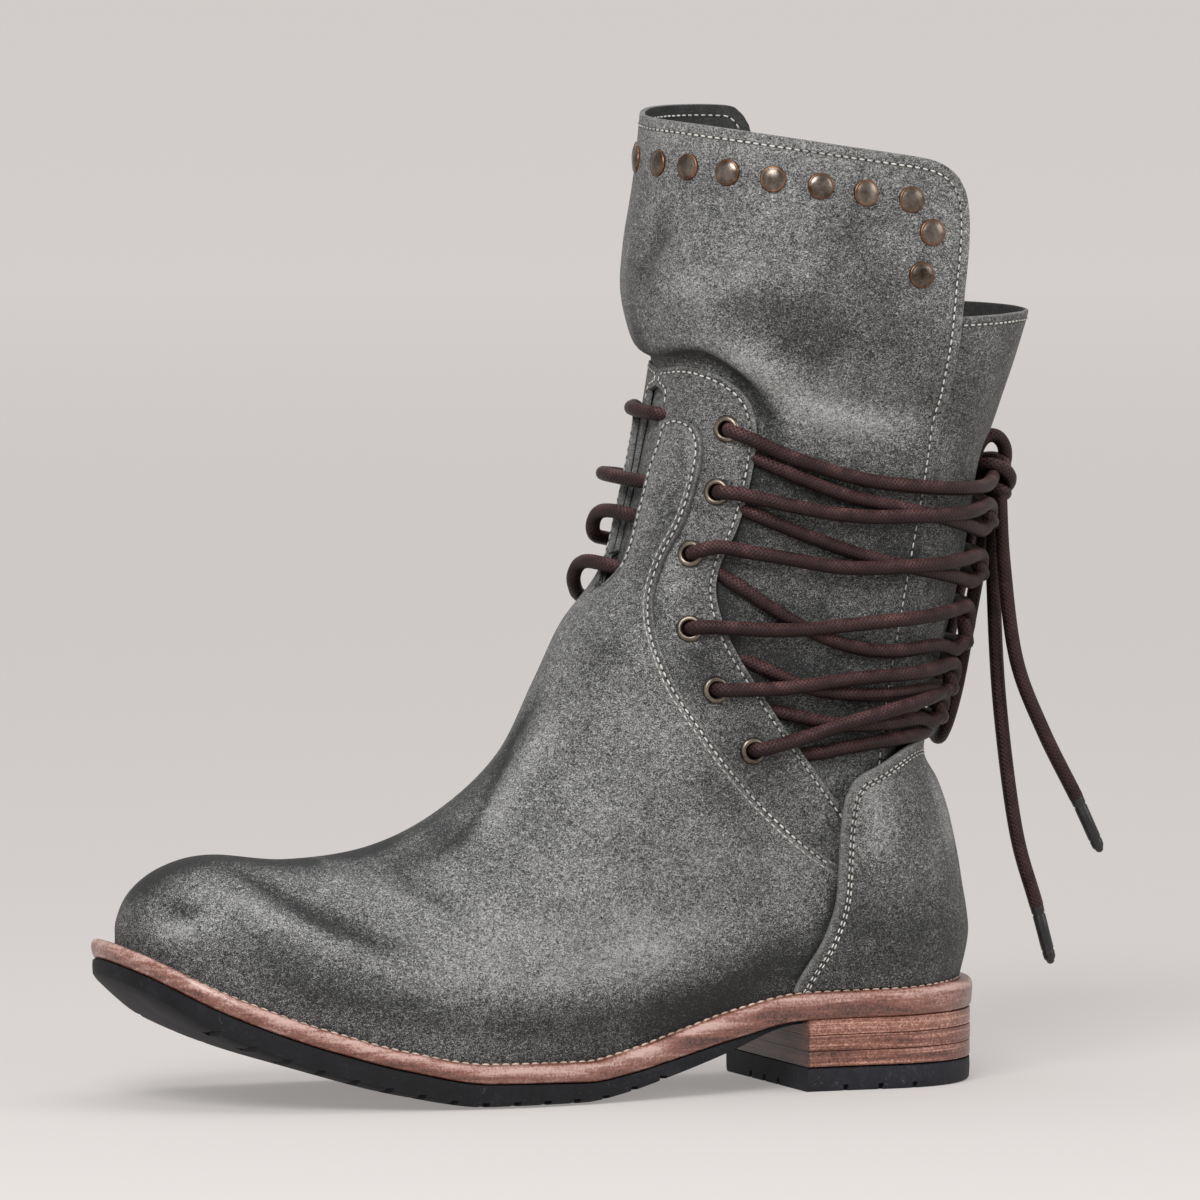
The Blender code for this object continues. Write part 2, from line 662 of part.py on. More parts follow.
def build_laces(group, tools):
    cord_skin = material("lace_cord", CORD, 0.8)
    tip_skin = material("lace_tip", RUBBER, 0.35)
    leg = Leg(SHAFT, 0.0)
    for number, run in enumerate(BACK_RUNS, 1):
        over = (LACE_OVER_FACING, LACE_OVER_FACING, run["lift"], run["lift"])
        outer = [(-t, z, lift) for (t, z), lift in zip(run["outer"], over)]
        inner = [(t - 2, z, LACE_LIFT) for t, z in run["inner"]]
        stops = outer + [(-1.0, run["back_z"], BACK_LIFT)] + inner
        path = lace_run(leg, stops, 15)
        one = solid_from(cord("run", path, LACE_RADIUS, cord_skin, group, 1))
        two = solid_from(cord("run", mirrored(path), LACE_RADIUS, cord_skin, group, 1))
        made = new_object(f"lace_cross_{number}", one, group)
        boolean(made, cutter(f"lace_cross_{number}_other", two, tools), "UNION")

    base = [(-t, z, LACE_LIFT) for t, z in BASE_RUN]
    base += [(-1.0, BASE_BACK_Z, LACE_LIFT)]
    base += [(t - 2, z, LACE_LIFT) for t, z in reversed(BASE_RUN)]
    cord("lace_base", lace_run(leg, base, 13), LACE_RADIUS, cord_skin, group, 1)

    top = [(-t, z, LACE_OVER_FACING if i == 0 else LACE_LIFT) for i, (t, z) in enumerate(TOP_RUN)]
    path = lace_run(leg, top, 10)
    cord("lace_top_lateral", path, LACE_RADIUS, cord_skin, group, 1)
    cord("lace_top_medial", mirrored(path), LACE_RADIUS, cord_skin, group, 1)

    for number, run in enumerate(FRONT_RUNS, 1):
        turns = (-0.025, 0.015, 0.05, 0.09, 0.125, run["end"])
        heights = np.linspace(run["high"], run["low"], len(turns))
        rise = (LACE_RADIUS + 0.5, LACE_LIFT + 2.0, FRONT_LIFT + 0.6)
        lifts = rise + (run["lift"], 0.95 * run["lift"], FRONT_LIFT)
        path = lace_run(leg, list(zip(turns, heights, lifts)), 9)
        cord(f"lace_front_{number}", path, LACE_RADIUS, cord_skin, group, 1)

    knot = bpy.data.meshes.new("lace_knot")
    bm = bmesh.new()
    bmesh.ops.create_uvsphere(bm, u_segments=12, v_segments=8, radius=MM)
    bmesh.ops.scale(bm, verts=bm.verts, vec=KNOT_SIZE)
    bmesh.ops.translate(bm, verts=bm.verts, vec=place(KNOT_CENTRE))
    bm.to_mesh(knot)
    bm.free()
    new_object("lace_knot", knot, group, cord_skin)

    cord("lace_loop", smooth_line(LACE_LOOP, 2), LACE_RADIUS, cord_skin, group)
    for number, (end, tip) in enumerate(zip((LACE_END_A, LACE_END_B), AGLET_TIPS), 1):
        cord(f"lace_end_{number}", smooth_line(end, 4), LACE_RADIUS, cord_skin, group)
        last = np.array(end[-1])
        along = np.array(tip) - last
        along = along / np.linalg.norm(along)
        ends = [last + along * 2 * GAP, last + along * (2 * GAP + AGLET_LENGTH)]
        cord(f"lace_tip_{number}", ends, AGLET_RADIUS, tip_skin, group)


def build_fittings(group, tools):
    """Eyelets and studs, and the eyelets' holes through the facings."""
    brass = material("antique_brass", BRASS, 0.35, 1.0)
    facing = Leg(UPPER, EYESTAY_OUT)
    for number, (x, z) in enumerate(EYELETS["rows"], 1):
        turn = facing.turn_at(x, z)
        for sign, side in ((-1, "lateral"), (1, "medial")):
            spot, out = facing.at(sign * turn, z)
            turned(f"eyelet_{side}_{number}", EYELET_PROFILE, brass, group, spot + out * FITTING_LIFT, out)
            drill = cord("drill", [spot - out * 4, spot + out * 4], EYELET_HOLE, brass, tools, 2)
            hole = cutter(f"hole_{side}_{number}", solid_from(drill), tools)
            boolean(bpy.data.objects[f"eyestay_{side}"], hole, "DIFFERENCE")

    leg = Leg(SHAFT, 0.0)
    for sign, side, count, edge, start in (
        (-1, "lateral", STUDS_LATERAL, STUDS_LATERAL_EDGE, 9.0),
        (1, "medial", STUDS_MEDIAL, STUDS_MEDIAL_EDGE, 9.9),
    ):
        collar = COLLAR_LATERAL if sign < 0 else COLLAR_MEDIAL
        collar_x = [p[0] for p in collar[:5]]
        collar_z = [p[1] for p in collar[:5]]
        fine = np.linspace(0.0, 0.9, 400)
        line = [leg.at(sign * t, 282.0)[0] for t in fine]
        along = np.concatenate([[0], np.cumsum(np.linalg.norm(np.diff(line, axis=0), axis=1))])
        places = []
        for k in range(count):
            turn = float(np.interp(start + STUD_PITCH * k, along, fine))
            x = leg.at(sign * turn, 282.0)[0][0]
            places.append((turn, float(np.interp(x, collar_x, collar_z)) - STUD_BELOW_EDGE))
        places += [(leg.turn_at(x, z), z) for x, z in edge]
        for number, (turn, z) in enumerate(places, 1):
            spot, out = leg.at(sign * turn, z)
            turned(f"stud_{side}_{number}", STUD_PROFILE, brass, group, spot + out * FITTING_LIFT, out)


def build_sole(group, tools):
    brown = material("welt_leather", BROWN, 0.5)
    black = material("sole_rubber", RUBBER, 0.8)
    stack = material("heel_leather", BROWN, 0.5)

    def band_top(x):
        return feather_z(x) - GAP

    slab("welt", (
        (welt_margin(1.7), band_top),
        (welt_margin(0.3), lambda x: band_top(x) - 1.2),
        (welt_margin(0.0), lambda x: band_top(x) - 3.0),
        (welt_margin(0.4), lambda x: rubber_top(x) + 1.0),
        (welt_margin(1.2), rubber_top),
    ), brown, group)

    outsole = slab("outsole", (
        (welt_margin(0.9), lambda x: rubber_top(x) - GAP),
        (welt_margin(0.4), lambda x: rubber_top(x) - GAP - 0.6),
        (welt_margin(0.6), lambda x: rubber_bottom(x) + by_key(SOLE, "x", "edge_lift", x)),
        (welt_margin(5.0), lambda x: rubber_bottom(x) + 0.25 * by_key(SOLE, "x", "edge_lift", x)),
        (welt_margin(12.0), rubber_bottom),
    ), black, group)
    boolean(outsole, box("breast_cut", (HEEL_BREAST_X - GAP, -80, -5), (170, 80, 60), tools), "DIFFERENCE")
    boolean(outsole, lugs(tools), "DIFFERENCE")

    heel_box = box("heel_box", (HEEL_BREAST_X, -80, -5), (170, 80, 60), tools)
    top_lift = slab("heel_top_lift", (
        (welt_margin(0.9), lambda x: np.full_like(x, TOP_LIFT_HEIGHT)),
        (welt_margin(1.0), lambda x: np.full_like(x, 1.0)),
        (welt_margin(1.8), lambda x: np.zeros_like(x)),
    ), black, group)
    boolean(top_lift, heel_box, "INTERSECT")
    for k in range(LEATHER_LIFTS):
        edge = (0.9, 0.6, 0.8)[k]

        def level(x, share):
            low = TOP_LIFT_HEIGHT + GAP
            return low + (rubber_top(x) - low) * share

        lift = slab(f"heel_lift_{k + 1}", (
            (welt_margin(edge + 0.5), lambda x: level(x, (k + 1) / LEATHER_LIFTS) - GAP),
            (welt_margin(edge), lambda x: level(x, (k + 0.5) / LEATHER_LIFTS)),
            (welt_margin(edge + 0.4), lambda x: level(x, k / LEATHER_LIFTS)),
        ), stack, group)
        boolean(lift, heel_box, "INTERSECT")


def lugs(tools):
    """Notches between the edge lugs of the forepart, and cross grooves in front of them."""

    def build(bm):
        places = np.arange(FLAT_FROM_X - 82, FLAT_TO_X + 34, LUG_PITCH)
        for x in places:
            for side in (-1, 1):
                edge = half_width(np.array(x), feather_z(np.array(x)), np.array(side)) + 6
                y = float(middle(np.array(x), np.array(20.0)) + side * edge)
                z = float(rubber_bottom(np.array(x)))
                made = bmesh.ops.create_cube(bm, size=MM)
                bmesh.ops.scale(bm, verts=made["verts"], vec=(LUG_WIDTH, 2 * LUG_REACH, 2 * LUG_HEIGHT))
                bmesh.ops.translate(bm, verts=made["verts"], vec=place((x, y, z)))

    return cutter("lug_cut", mesh_from("lug_cut", build), tools)


def build_upper(group, tools):
    leather = material("upper_leather", LEATHER)
    grid = surface(UPPER, section_rows(UPPER, FOOT_SECTIONS))
    throat = slot("throat_cut", FACING_SLOT, tools)
    fingers = slot("finger_cut", FINGER_SLOT, tools)

    upper = shell("upper", grid, UPPER_WALL, leather, group)
    line = [(-190.0, -20.0), (-190.0, 200.0)] + smooth_line(VAMP_EDGE) + smooth_line(UPPER_TOP_BACK)
    boolean(upper, prism("vamp_cut", line + [(190.0, 91.0), (190.0, -20.0)], -90, 90, tools), "INTERSECT")
    boolean(upper, fingers, "DIFFERENCE")

    high = moved_out(grid[2 * FOOT_SECTIONS - 2:], EYESTAY_OUT)
    band = smooth_line(EYESTAY_EDGE) + smooth_line(EYESTAY_UNDER)
    band = [(-10.0, 214.0)] + band + [(-10.0, 160.0)]
    for side, name in ((-1, "eyestay_lateral"), (1, "eyestay_medial")):
        made = shell(name, high, EYESTAY_WALL, leather, group)
        sides = (-90, -GAP) if side < 0 else (GAP, 90)
        boolean(made, prism(name + "_cut", band, *sides, tools), "INTERSECT")
        boolean(made, throat, "DIFFERENCE")

    low = moved_out(grid[:2 * FOOT_SECTIONS + 6], COUNTER_OUT)
    counter = shell("counter", low, COUNTER_WALL, leather, group)
    seat = [(x, float(feather_z(x)) + 0.1) for x in (72.0, 90.0, 110.0, 130.0, 190.0)]
    outline = smooth_line(COUNTER_EDGE) + seat + [(190.0, 104.0)]
    boolean(counter, prism("counter_cut", outline, -90, 90, tools), "INTERSECT")
    return grid


def build_leg(group, tools):
    leather = material("shaft_leather", LEATHER)
    grid = surface(SHAFT, section_rows(SHAFT))
    shaft = shell("shaft", grid, SHAFT_WALL, leather, group)
    over = [(230.0, 60.0), (230.0, 340.0), (-10.0, 340.0)]
    boolean(shaft, prism("lateral_cut", smooth_line(COLLAR_LATERAL) + over, -120, 0, tools), "DIFFERENCE")
    boolean(shaft, prism("medial_cut", smooth_line(COLLAR_MEDIAL) + over, 0, 120, tools), "DIFFERENCE")

    gusset = shell("gusset", moved_out(grid, GUSSET_OUT), GUSSET_WALL, leather, group)
    back = box("gusset_cut", (GUSSET_FRONT_X, -120, 40), (230, 120, GUSSET_TOP_Z), tools)
    boolean(gusset, back, "INTERSECT")


def build_all():
    for old in list(bpy.data.objects):
        bpy.data.objects.remove(old, do_unlink=True)
    group = collection("lace_up_boot")
    tools = collection("cutters")
    tools.hide_render = True
    build_sole(group, tools)
    slab("insole", (
        (-UPPER_WALL - 2.2, lambda x: feather_z(x) + INSOLE_THICKNESS),
        (-UPPER_WALL - 1.8, lambda x: feather_z(x)),
    ), material("footbed", FOOTBED, 0.9), group)
    build_upper(group, tools)
    build_leg(group, tools)
    build_fittings(group, tools)
    build_laces(group, tools)


build_all()
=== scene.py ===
import math
import bpy
import numpy as np
from mathutils import Matrix, Vector
from mathutils.bvhtree import BVHTree
from mathutils.kdtree import KDTree


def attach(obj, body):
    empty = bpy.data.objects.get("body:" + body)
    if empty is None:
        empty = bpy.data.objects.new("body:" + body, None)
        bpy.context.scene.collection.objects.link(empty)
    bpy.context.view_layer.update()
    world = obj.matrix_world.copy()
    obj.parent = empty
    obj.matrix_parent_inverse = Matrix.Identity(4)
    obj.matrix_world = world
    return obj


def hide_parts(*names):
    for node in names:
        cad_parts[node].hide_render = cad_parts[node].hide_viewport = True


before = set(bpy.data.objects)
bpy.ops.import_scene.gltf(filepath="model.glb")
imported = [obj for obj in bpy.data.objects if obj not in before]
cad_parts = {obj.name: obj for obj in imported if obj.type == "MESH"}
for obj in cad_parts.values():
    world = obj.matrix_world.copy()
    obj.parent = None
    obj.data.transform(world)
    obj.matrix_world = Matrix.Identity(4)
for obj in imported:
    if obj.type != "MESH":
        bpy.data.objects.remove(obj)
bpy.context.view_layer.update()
print("frame loaded", len(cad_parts), "nodes")

# camera at the photograph's angle
cameraSet = dict(azimuth=-20.5, elevation=4.4, distance=6.0, pixelsPerMm=3.294, imageSize=1200,
                 target=(-9.8, 0.0, 145.0), targetPixel=(533.17, 614.5), sensor=36.0, reach=200.0)


def placeCamera():
    a, e = math.radians(cameraSet["azimuth"]), math.radians(cameraSet["elevation"])
    right = Vector((math.cos(a), math.sin(a), 0.0))
    back = Vector((math.sin(a) * math.cos(e), -math.cos(a) * math.cos(e), math.sin(e)))
    up = back.cross(right)
    middle = cameraSet["imageSize"] / 2
    aside = (middle - cameraSet["targetPixel"][0]) / cameraSet["pixelsPerMm"]
    above = (cameraSet["targetPixel"][1] - middle) / cameraSet["pixelsPerMm"]
    aim = (Vector(cameraSet["target"]) + right * aside + up * above) * 0.001
    bpy.ops.object.select_all(action="DESELECT")
    bpy.ops.object.camera_add()
    made = bpy.context.object
    turn = Matrix((right, up, back)).transposed().to_4x4()
    made.matrix_world = Matrix.Translation(aim + back * cameraSet["distance"]) @ turn
    made.data.sensor_width = cameraSet["sensor"]
    pixels = cameraSet["pixelsPerMm"] * cameraSet["distance"] * 1000
    made.data.lens = pixels * cameraSet["sensor"] / cameraSet["imageSize"]
    made.data.clip_end = cameraSet["reach"]
    bpy.context.scene.camera = made


placeCamera()
print("camera placed")

# the boot's own sizes, in millimetres, toe at -x, outer side at -y
centreX = 9.8
gap = 0.35
wall = dict(upper=1.8, counter=1.6, eyestay=1.5, shaft=1.7, gusset=1.5)
outBy = dict(counter=1.95, eyestay=-2.15, gusset=-2.05)
shaftOut = -4.35
featherEnds = dict(toeX=-130.7, heelX=134.5, toeZ=47.6, heelZ=31.8)
breastX = 75.5

soleTable = dict(
    columns=("x", "bottom", "rubber", "band", "margin", "edgeLift"),
    rows=((-143.0, 41.0, 6.4, 6.2, 7.2, 1.5), (-130.0, 33.2, 7.3, 6.5, 7.0, 2.0),
          (-115.0, 23.6, 8.3, 6.5, 6.6, 1.6), (-99.0, 16.4, 8.5, 6.4, 6.2, 1.6),
          (-80.0, 9.8, 8.5, 6.2, 5.8, 1.5), (-58.0, 4.0, 8.2, 6.0, 5.6, 1.4),
          (-32.0, 0.0, 7.6, 6.0, 5.6, 1.3), (0.0, 0.0, 6.8, 6.4, 5.2, 1.2),
          (14.0, 2.3, 6.2, 7.2, 4.6, 1.0), (32.0, 7.4, 5.2, 8.2, 4.2, 0.7),
          (50.0, 13.2, 4.0, 8.9, 4.0, 0.4), (75.5, 18.8, 3.2, 8.6, 3.8, 0.3),
          (105.0, 19.0, 3.2, 8.7, 4.2, 0.3), (128.0, 19.3, 3.2, 9.2, 5.8, 0.3),
          (147.0, 19.4, 3.2, 9.4, 6.6, 0.3)))
upperTable = dict(
    columns=("frontX", "frontZ", "frontR", "backX", "backZ", "backR", "dip"),
    rows=((-130.7, 47.6, 38, 134.5, 31.8, 31, 1.0), (-130.2, 55.0, 38, 136.2, 39.0, 31, 0.93),
          (-125.6, 64.0, 39, 137.2, 46.0, 32, 0.79), (-116.0, 71.2, 42, 136.5, 53.0, 32, 0.63),
          (-102.0, 74.6, 45, 135.3, 60.0, 33, 0.46), (-78.0, 72.5, 48, 134.0, 68.0, 34, 0.27),
          (-51.5, 76.0, 52, 132.3, 76.0, 35, 0.12), (-28.8, 86.3, 52, 130.2, 84.0, 35, 0.03),
          (-10.0, 103.0, 48, 127.2, 92.0, 36, 0.0), (2.2, 125.0, 45, 122.5, 102.0, 37, 0.0),
          (11.4, 142.5, 43, 127.5, 116.0, 38, 0.0), (24.0, 158.5, 42, 135.0, 134.0, 38, 0.0),
          (29.8, 178.0, 41, 141.0, 158.0, 39, 0.0), (34.8, 200.0, 41, 148.0, 187.0, 40, 0.0),
          (40.0, 229.0, 42, 154.0, 212.0, 41, 0.0)))
shaftTable = dict(
    columns=("frontX", "frontZ", "frontR", "backX", "backZ", "backR", "swell"),
    rows=((-6.5, 100.2, 44, 126.0, 74.0, 36, 0.0), (6.0, 123.2, 41, 122.3, 93.0, 35, 0.0),
          (14.8, 139.9, 39, 125.1, 110.0, 36, 0.0), (27.2, 156.4, 38, 132.4, 130.0, 36, 0.0),
          (33.7, 176.9, 37, 138.9, 156.0, 37, 0.0), (38.8, 199.2, 37, 144.6, 187.0, 38, 0.0),
          (41.6, 216.0, 38, 149.0, 198.0, 40, 0.0), (35.6, 225.0, 43, 151.6, 207.0, 42, 4.5),
          (32.0, 240.5, 46, 156.0, 222.0, 44, 8.0), (33.0, 256.0, 47, 160.5, 240.0, 46, 8.0),
          (35.6, 274.0, 47, 161.0, 258.0, 47, 6.5), (38.5, 303.0, 46, 156.0, 290.0, 47, 4.5)))
footTable = dict(
    columns=("x", "middle", "lateral", "medial"),
    rows=((-136.0, 7.0, 39.0, 33.0), (-110.0, 6.0, 41.0, 36.0), (-80.0, 4.0, 46.0, 41.0),
          (-50.0, 1.5, 49.0, 44.0), (-25.0, -0.5, 48.0, 42.5), (5.0, -2.0, 43.0, 37.0),
          (35.0, -2.0, 38.0, 32.5), (65.0, -1.0, 35.5, 32.5), (95.0, 0.0, 35.0, 34.0),
          (142.0, 0.0, 34.5, 34.0)))
legTable = dict(
    columns=("z", "half"),
    rows=((60.0, 37.5), (95.0, 37.0), (120.0, 37.5), (150.0, 39.0), (180.0, 41.0), (210.0, 43.5),
          (240.0, 45.5), (305.0, 47.0)))

# cutting lines of the leather, x then z
vampEdge = ((39.6, 205.2), (42.2, 203.6), (43.9, 198.8), (43.2, 190.5), (39.0, 175.0), (33.0, 161.5),
            (29.2, 149.0), (29.2, 137.8), (33.0, 125.0), (41.0, 112.5), (50.5, 100.0), (61.6, 87.8),
            (74.7, 76.2), (86.0, 68.3))
vampUnderCounter = ((86.0, 68.3), (96.0, 64.5), (110.0, 62.5), (126.0, 61.5), (134.0, 61.0))
fingerArch = ((35.5, 200.0), (37.6, 203.9), (39.6, 205.2))
eyestayArch = ((36.0, 214.0), (39.5, 218.2), (43.0, 220.4), (48.5, 218.8), (54.0, 214.6), (57.3, 209.8))
eyestayEdge = ((57.3, 209.8), (58.7, 202.0), (57.4, 189.0), (53.5, 173.2), (48.6, 162.0), (47.0, 151.5),
               (51.0, 137.5), (61.5, 120.8), (69.9, 109.0), (82.0, 93.0), (92.0, 80.0), (97.0, 70.0),
               (99.0, 62.0))
eyestayUnder = ((82.0, 62.0), (67.0, 73.0), (53.0, 86.0), (41.0, 99.0), (31.0, 112.0), (23.0, 126.0),
                (17.0, 142.0), (5.0, 158.0))
counterTop = ((87.2, 89.4), (91.0, 95.3), (99.0, 98.8), (114.0, 104.5), (126.0, 104.5), (150.0, 104.0))
counterFront = ((71.5, 31.5), (74.6, 36.8), (80.6, 46.6), (84.4, 56.8), (85.3, 66.8), (85.8, 79.0),
                (87.2, 89.4))
collarLateral = ((38.0, 295.3), (54.7, 292.8), (83.7, 288.2), (108.0, 284.3), (116.0, 281.6),
                 (120.6, 278.0))
flapLateral = ((104.0, 82.0), (104.0, 95.0), (106.0, 118.0), (110.0, 145.0), (115.0, 176.0),
               (118.4, 200.0), (119.8, 220.0), (121.6, 242.0), (124.0, 260.0), (123.6, 271.5),
               (120.6, 278.0))
collarMedial = ((38.0, 295.5), (50.0, 297.0), (78.0, 296.4), (84.4, 294.2), (87.6, 290.0))
flapMedial = ((104.0, 82.0), (104.0, 95.0), (106.0, 120.0), (107.5, 150.0), (107.0, 190.0),
              (104.0, 215.0), (98.0, 240.0), (93.0, 265.0), (89.8, 282.0), (87.6, 290.0))
# half the throat's slot, height then half its width
throatFoot = ((152.0, 0.6), (155.5, 4.6), (162.0, 7.6), (178.0, 8.8))
facingSlot = throatFoot + ((195.0, 8.4), (209.0, 6.6), (240.0, 5.8))
fingerSlot = throatFoot + ((190.0, 9.4), (200.0, 11.6), (240.0, 15.0))
# back panel of the leg: its top's height and where its two front edges lie
gussetTopZ = 235.5
gussetFrontX = dict(lateral=101.0, medial=84.0)
# seam rows: distance inside the cut edge
seamInside = dict(upper=1.15, upperFine=2.75, eyestay=1.7, counter=(3.1, 4.1), shaft=3.4, gusset=2.6)
# how a skin is read: steps and blend along its end lines, tuck over the feather, ankle heights, chart steps
skinSet = dict(lineSteps=160, batch=6000, blend=1.5, tuck=2.0, tuckHeight=14.0, ankle=(55.0, 115.0),
               turnStep=0.005, rowStep=0.04, chartTurns=120, chartStep=0.1)


def metres(points):
    return (np.asarray(points, float) - np.array((centreX, 0.0, 0.0))) * 0.001


def columnOf(table, name):
    place = table["columns"].index(name)
    return np.array([row[place] for row in table["rows"]], float)


# a column read against its key column, without overshoot
def byKey(table, key, name, at):
    x, y = columnOf(table, key), columnOf(table, name)
    step = np.diff(x)
    rise = np.diff(y) / step
    slope = np.zeros(len(x))
    slope[0], slope[-1] = rise[0], rise[-1]
    same = rise[:-1] * rise[1:] > 0
    mean = 2 * rise[:-1] * rise[1:] / np.where(same, rise[:-1] + rise[1:], 1.0)
    slope[1:-1] = np.where(same, mean, 0.0)
    at = np.clip(np.asarray(at, float), x[0], x[-1])
    i = np.clip(np.searchsorted(x, at) - 1, 0, len(x) - 2)
    u = (at - x[i]) / step[i]
    pull = step[i] * (slope[i] * u * (1 - u) ** 2 - slope[i + 1] * u * u * (1 - u))
    return y[i] + (y[i + 1] - y[i]) * u * u * (3 - 2 * u) + pull


# values met at whole numbers, smooth between them
def smoothThrough(values, at):
    v = np.asarray(values, float)
    v = np.concatenate([[2 * v[0] - v[1]], v, [2 * v[-1] - v[-2]]])
    at = np.asarray(at, float)
    i = np.clip(at.astype(int), 0, len(v) - 4)
    u = at - i
    a, b, c, d = v[i], v[i + 1], v[i + 2], v[i + 3]
    curve = (2 * a - 5 * b + 4 * c - d) * u * u + (3 * b - a - 3 * c + d) * u * u * u
    return b + 0.5 * ((c - a) * u + curve)


def smoothLine(points, each=6):
    at = np.linspace(0, len(points) - 1, (len(points) - 1) * each + 1)
    return np.stack([smoothThrough(k, at) for k in zip(*points)], axis=1)


def unit(vectors):
    vectors = np.asarray(vectors, float)
    return vectors / np.linalg.norm(vectors, axis=-1, keepdims=True)


# distance run along a line at each of its points
def lengthAlong(line):
    return np.concatenate([[0], np.cumsum(np.linalg.norm(np.diff(line, axis=0), axis=1))])


def readAt(at, along, line):
    return np.stack([np.interp(at, along, k) for k in line.T], axis=1)


def ease(at, low, high):
    u = np.clip((np.asarray(at, float) - low) / (high - low), 0, 1)
    return u * u * (3 - 2 * u)


def rubberBottom(x):
    return np.maximum(byKey(soleTable, "x", "bottom", x), 0)


def rubberTop(x):
    return rubberBottom(x) + byKey(soleTable, "x", "rubber", x)


def featherZ(x):
    return rubberTop(x) + byKey(soleTable, "x", "band", x)


def chordDip(x):
    share = (x - featherEnds["toeX"]) / (featherEnds["heelX"] - featherEnds["toeX"])
    return featherZ(x) - featherEnds["toeZ"] - (featherEnds["heelZ"] - featherEnds["toeZ"]) * share


# how near full width a point is, from its distance to the section's front or back line
def roundness(x, z, row, table, end):
    steps = np.linspace(0, len(table["rows"]) - 1, skinSet["lineSteps"])
    ends = [columnOf(table, end + name) for name in ("X", "Z", "R")]
    lineX, lineZ, radius = (smoothThrough(k, steps) for k in ends)
    x = x - smoothThrough(ends[0], row) + np.interp(row, steps, lineX)
    z = z - smoothThrough(ends[1], row) + np.interp(row, steps, lineZ)
    ax, az, dx, dz = lineX[:-1], lineZ[:-1], np.diff(lineX), np.diff(lineZ)
    found = np.empty(len(x))
    for start in range(0, len(x), skinSet["batch"]):
        part = slice(start, start + skinSet["batch"])
        bx, bz = x[part, None], z[part, None]
        u = np.clip(((bx - ax) * dx + (bz - az) * dz) / (dx * dx + dz * dz), 0, 1)
        away = np.hypot(bx - ax - u * dx, bz - az - u * dz)
        nearest = away.min(axis=1)
        weight = np.exp((nearest[:, None] - away) / skinSet["blend"])
        wide = weight @ ((radius[1:] + radius[:-1]) / 2) / weight.sum(axis=1)
        found[part] = np.sqrt(1 - (1 - np.clip(nearest / wide, 0, 1)) ** 2)
    return found


def halfWidth(x, z, side):
    foot = np.where(side < 0, byKey(footTable, "x", "lateral", x), byKey(footTable, "x", "medial", x))
    tuck = skinSet["tuck"] * (1 - ease(z - featherZ(x), 0, skinSet["tuckHeight"]))
    up = ease(z, *skinSet["ankle"])
    return (foot - tuck) * (1 - up) + byKey(legTable, "z", "half", z) * up


def middleY(x, z):
    return byKey(footTable, "x", "middle", x) * (1 - ease(z, *skinSet["ankle"]))


# around: 0 at the front, -1 and 1 at the back, outer side negative; it may run past the back
def skinPoint(table, around, row):
    turn = (np.asarray(around, float) + 1) % 2 - 1
    side = np.where(turn < 0, -1.0, 1.0)
    share = (1 - np.cos(np.pi * np.abs(turn))) / 2
    row = np.clip(np.asarray(row, float), 0, len(table["rows"]) - 1)

    def column(name):
        return smoothThrough(columnOf(table, name), row)

    frontX, frontZ, backX, backZ = column("frontX"), column("frontZ"), column("backX"), column("backZ")
    x = frontX + (backX - frontX) * share
    z = frontZ + (backZ - frontZ) * share
    swell = 0.0
    if "dip" in table["columns"]:
        ends = chordDip(frontX) * (1 - share) + chordDip(backX) * share
        z = z + column("dip") * (chordDip(x) - ends)
    else:
        swell = column("swell") + shaftOut
    width = halfWidth(x, z, side) + swell
    for end in ("front", "back"):
        width = width * roundness(x, z, row, table, end)
    return np.stack([x, middleY(x, z) + side * width, z], axis=-1)


def onSkin(table, around, row, lift=0.0):
    around, row = np.atleast_1d(np.asarray(around, float)), np.atleast_1d(np.asarray(row, float))
    last, turn, step = len(table["rows"]) - 1, skinSet["turnStep"], skinSet["rowStep"]
    spot = skinPoint(table, around, row)
    across = skinPoint(table, around + turn, row) - skinPoint(table, around - turn, row)
    above, below = np.minimum(row + step, last), np.maximum(row - step, 0)
    upward = skinPoint(table, around, above) - skinPoint(table, around, below)
    out = unit(np.cross(upward, across))
    return spot + out * np.reshape(np.broadcast_to(lift, len(spot)), (-1, 1)), out


# a coarse map of one skin, to look up where a side outline lies on it
def makeChart(table, out):
    turns = np.linspace(0, 1, skinSet["chartTurns"] + 1)
    rows = np.arange(0, len(table["rows"]) - 1 + 1e-6, skinSet["chartStep"])
    rowGrid, turnGrid = np.meshgrid(rows, turns, indexing="ij")
    spots = onSkin(table, -turnGrid.ravel(), rowGrid.ravel(), out)[0].reshape(len(rows), len(turns), 3)
    return dict(table=table, out=out, turns=turns, rows=rows, spots=spots)


def spotAt(chart, x, z):
    turns = np.array([np.interp(x, line, chart["turns"]) for line in chart["spots"][:, :, 0]])
    levels = chart["spots"][:, :, 2]
    heights = np.array([np.interp(t, chart["turns"], line) for t, line in zip(turns, levels)])
    row = float(np.interp(z, heights, chart["rows"]))
    return float(np.interp(row, chart["rows"], turns)), row


# an x, z outline as (turn, row) on a skin
def onChart(chart, outline, each=6):
    return np.array([spotAt(chart, x, z) for x, z in smoothLine(outline, each)])


def heightRow(chart, around, z):
    turn = abs((around + 1) % 2 - 1) * skinSet["chartTurns"]
    low = min(int(turn), skinSet["chartTurns"] - 1)
    heights = chart["spots"][:, low, 2] * (low + 1 - turn) + chart["spots"][:, low + 1, 2] * (turn - low)
    return float(np.interp(z, heights, chart["rows"]))


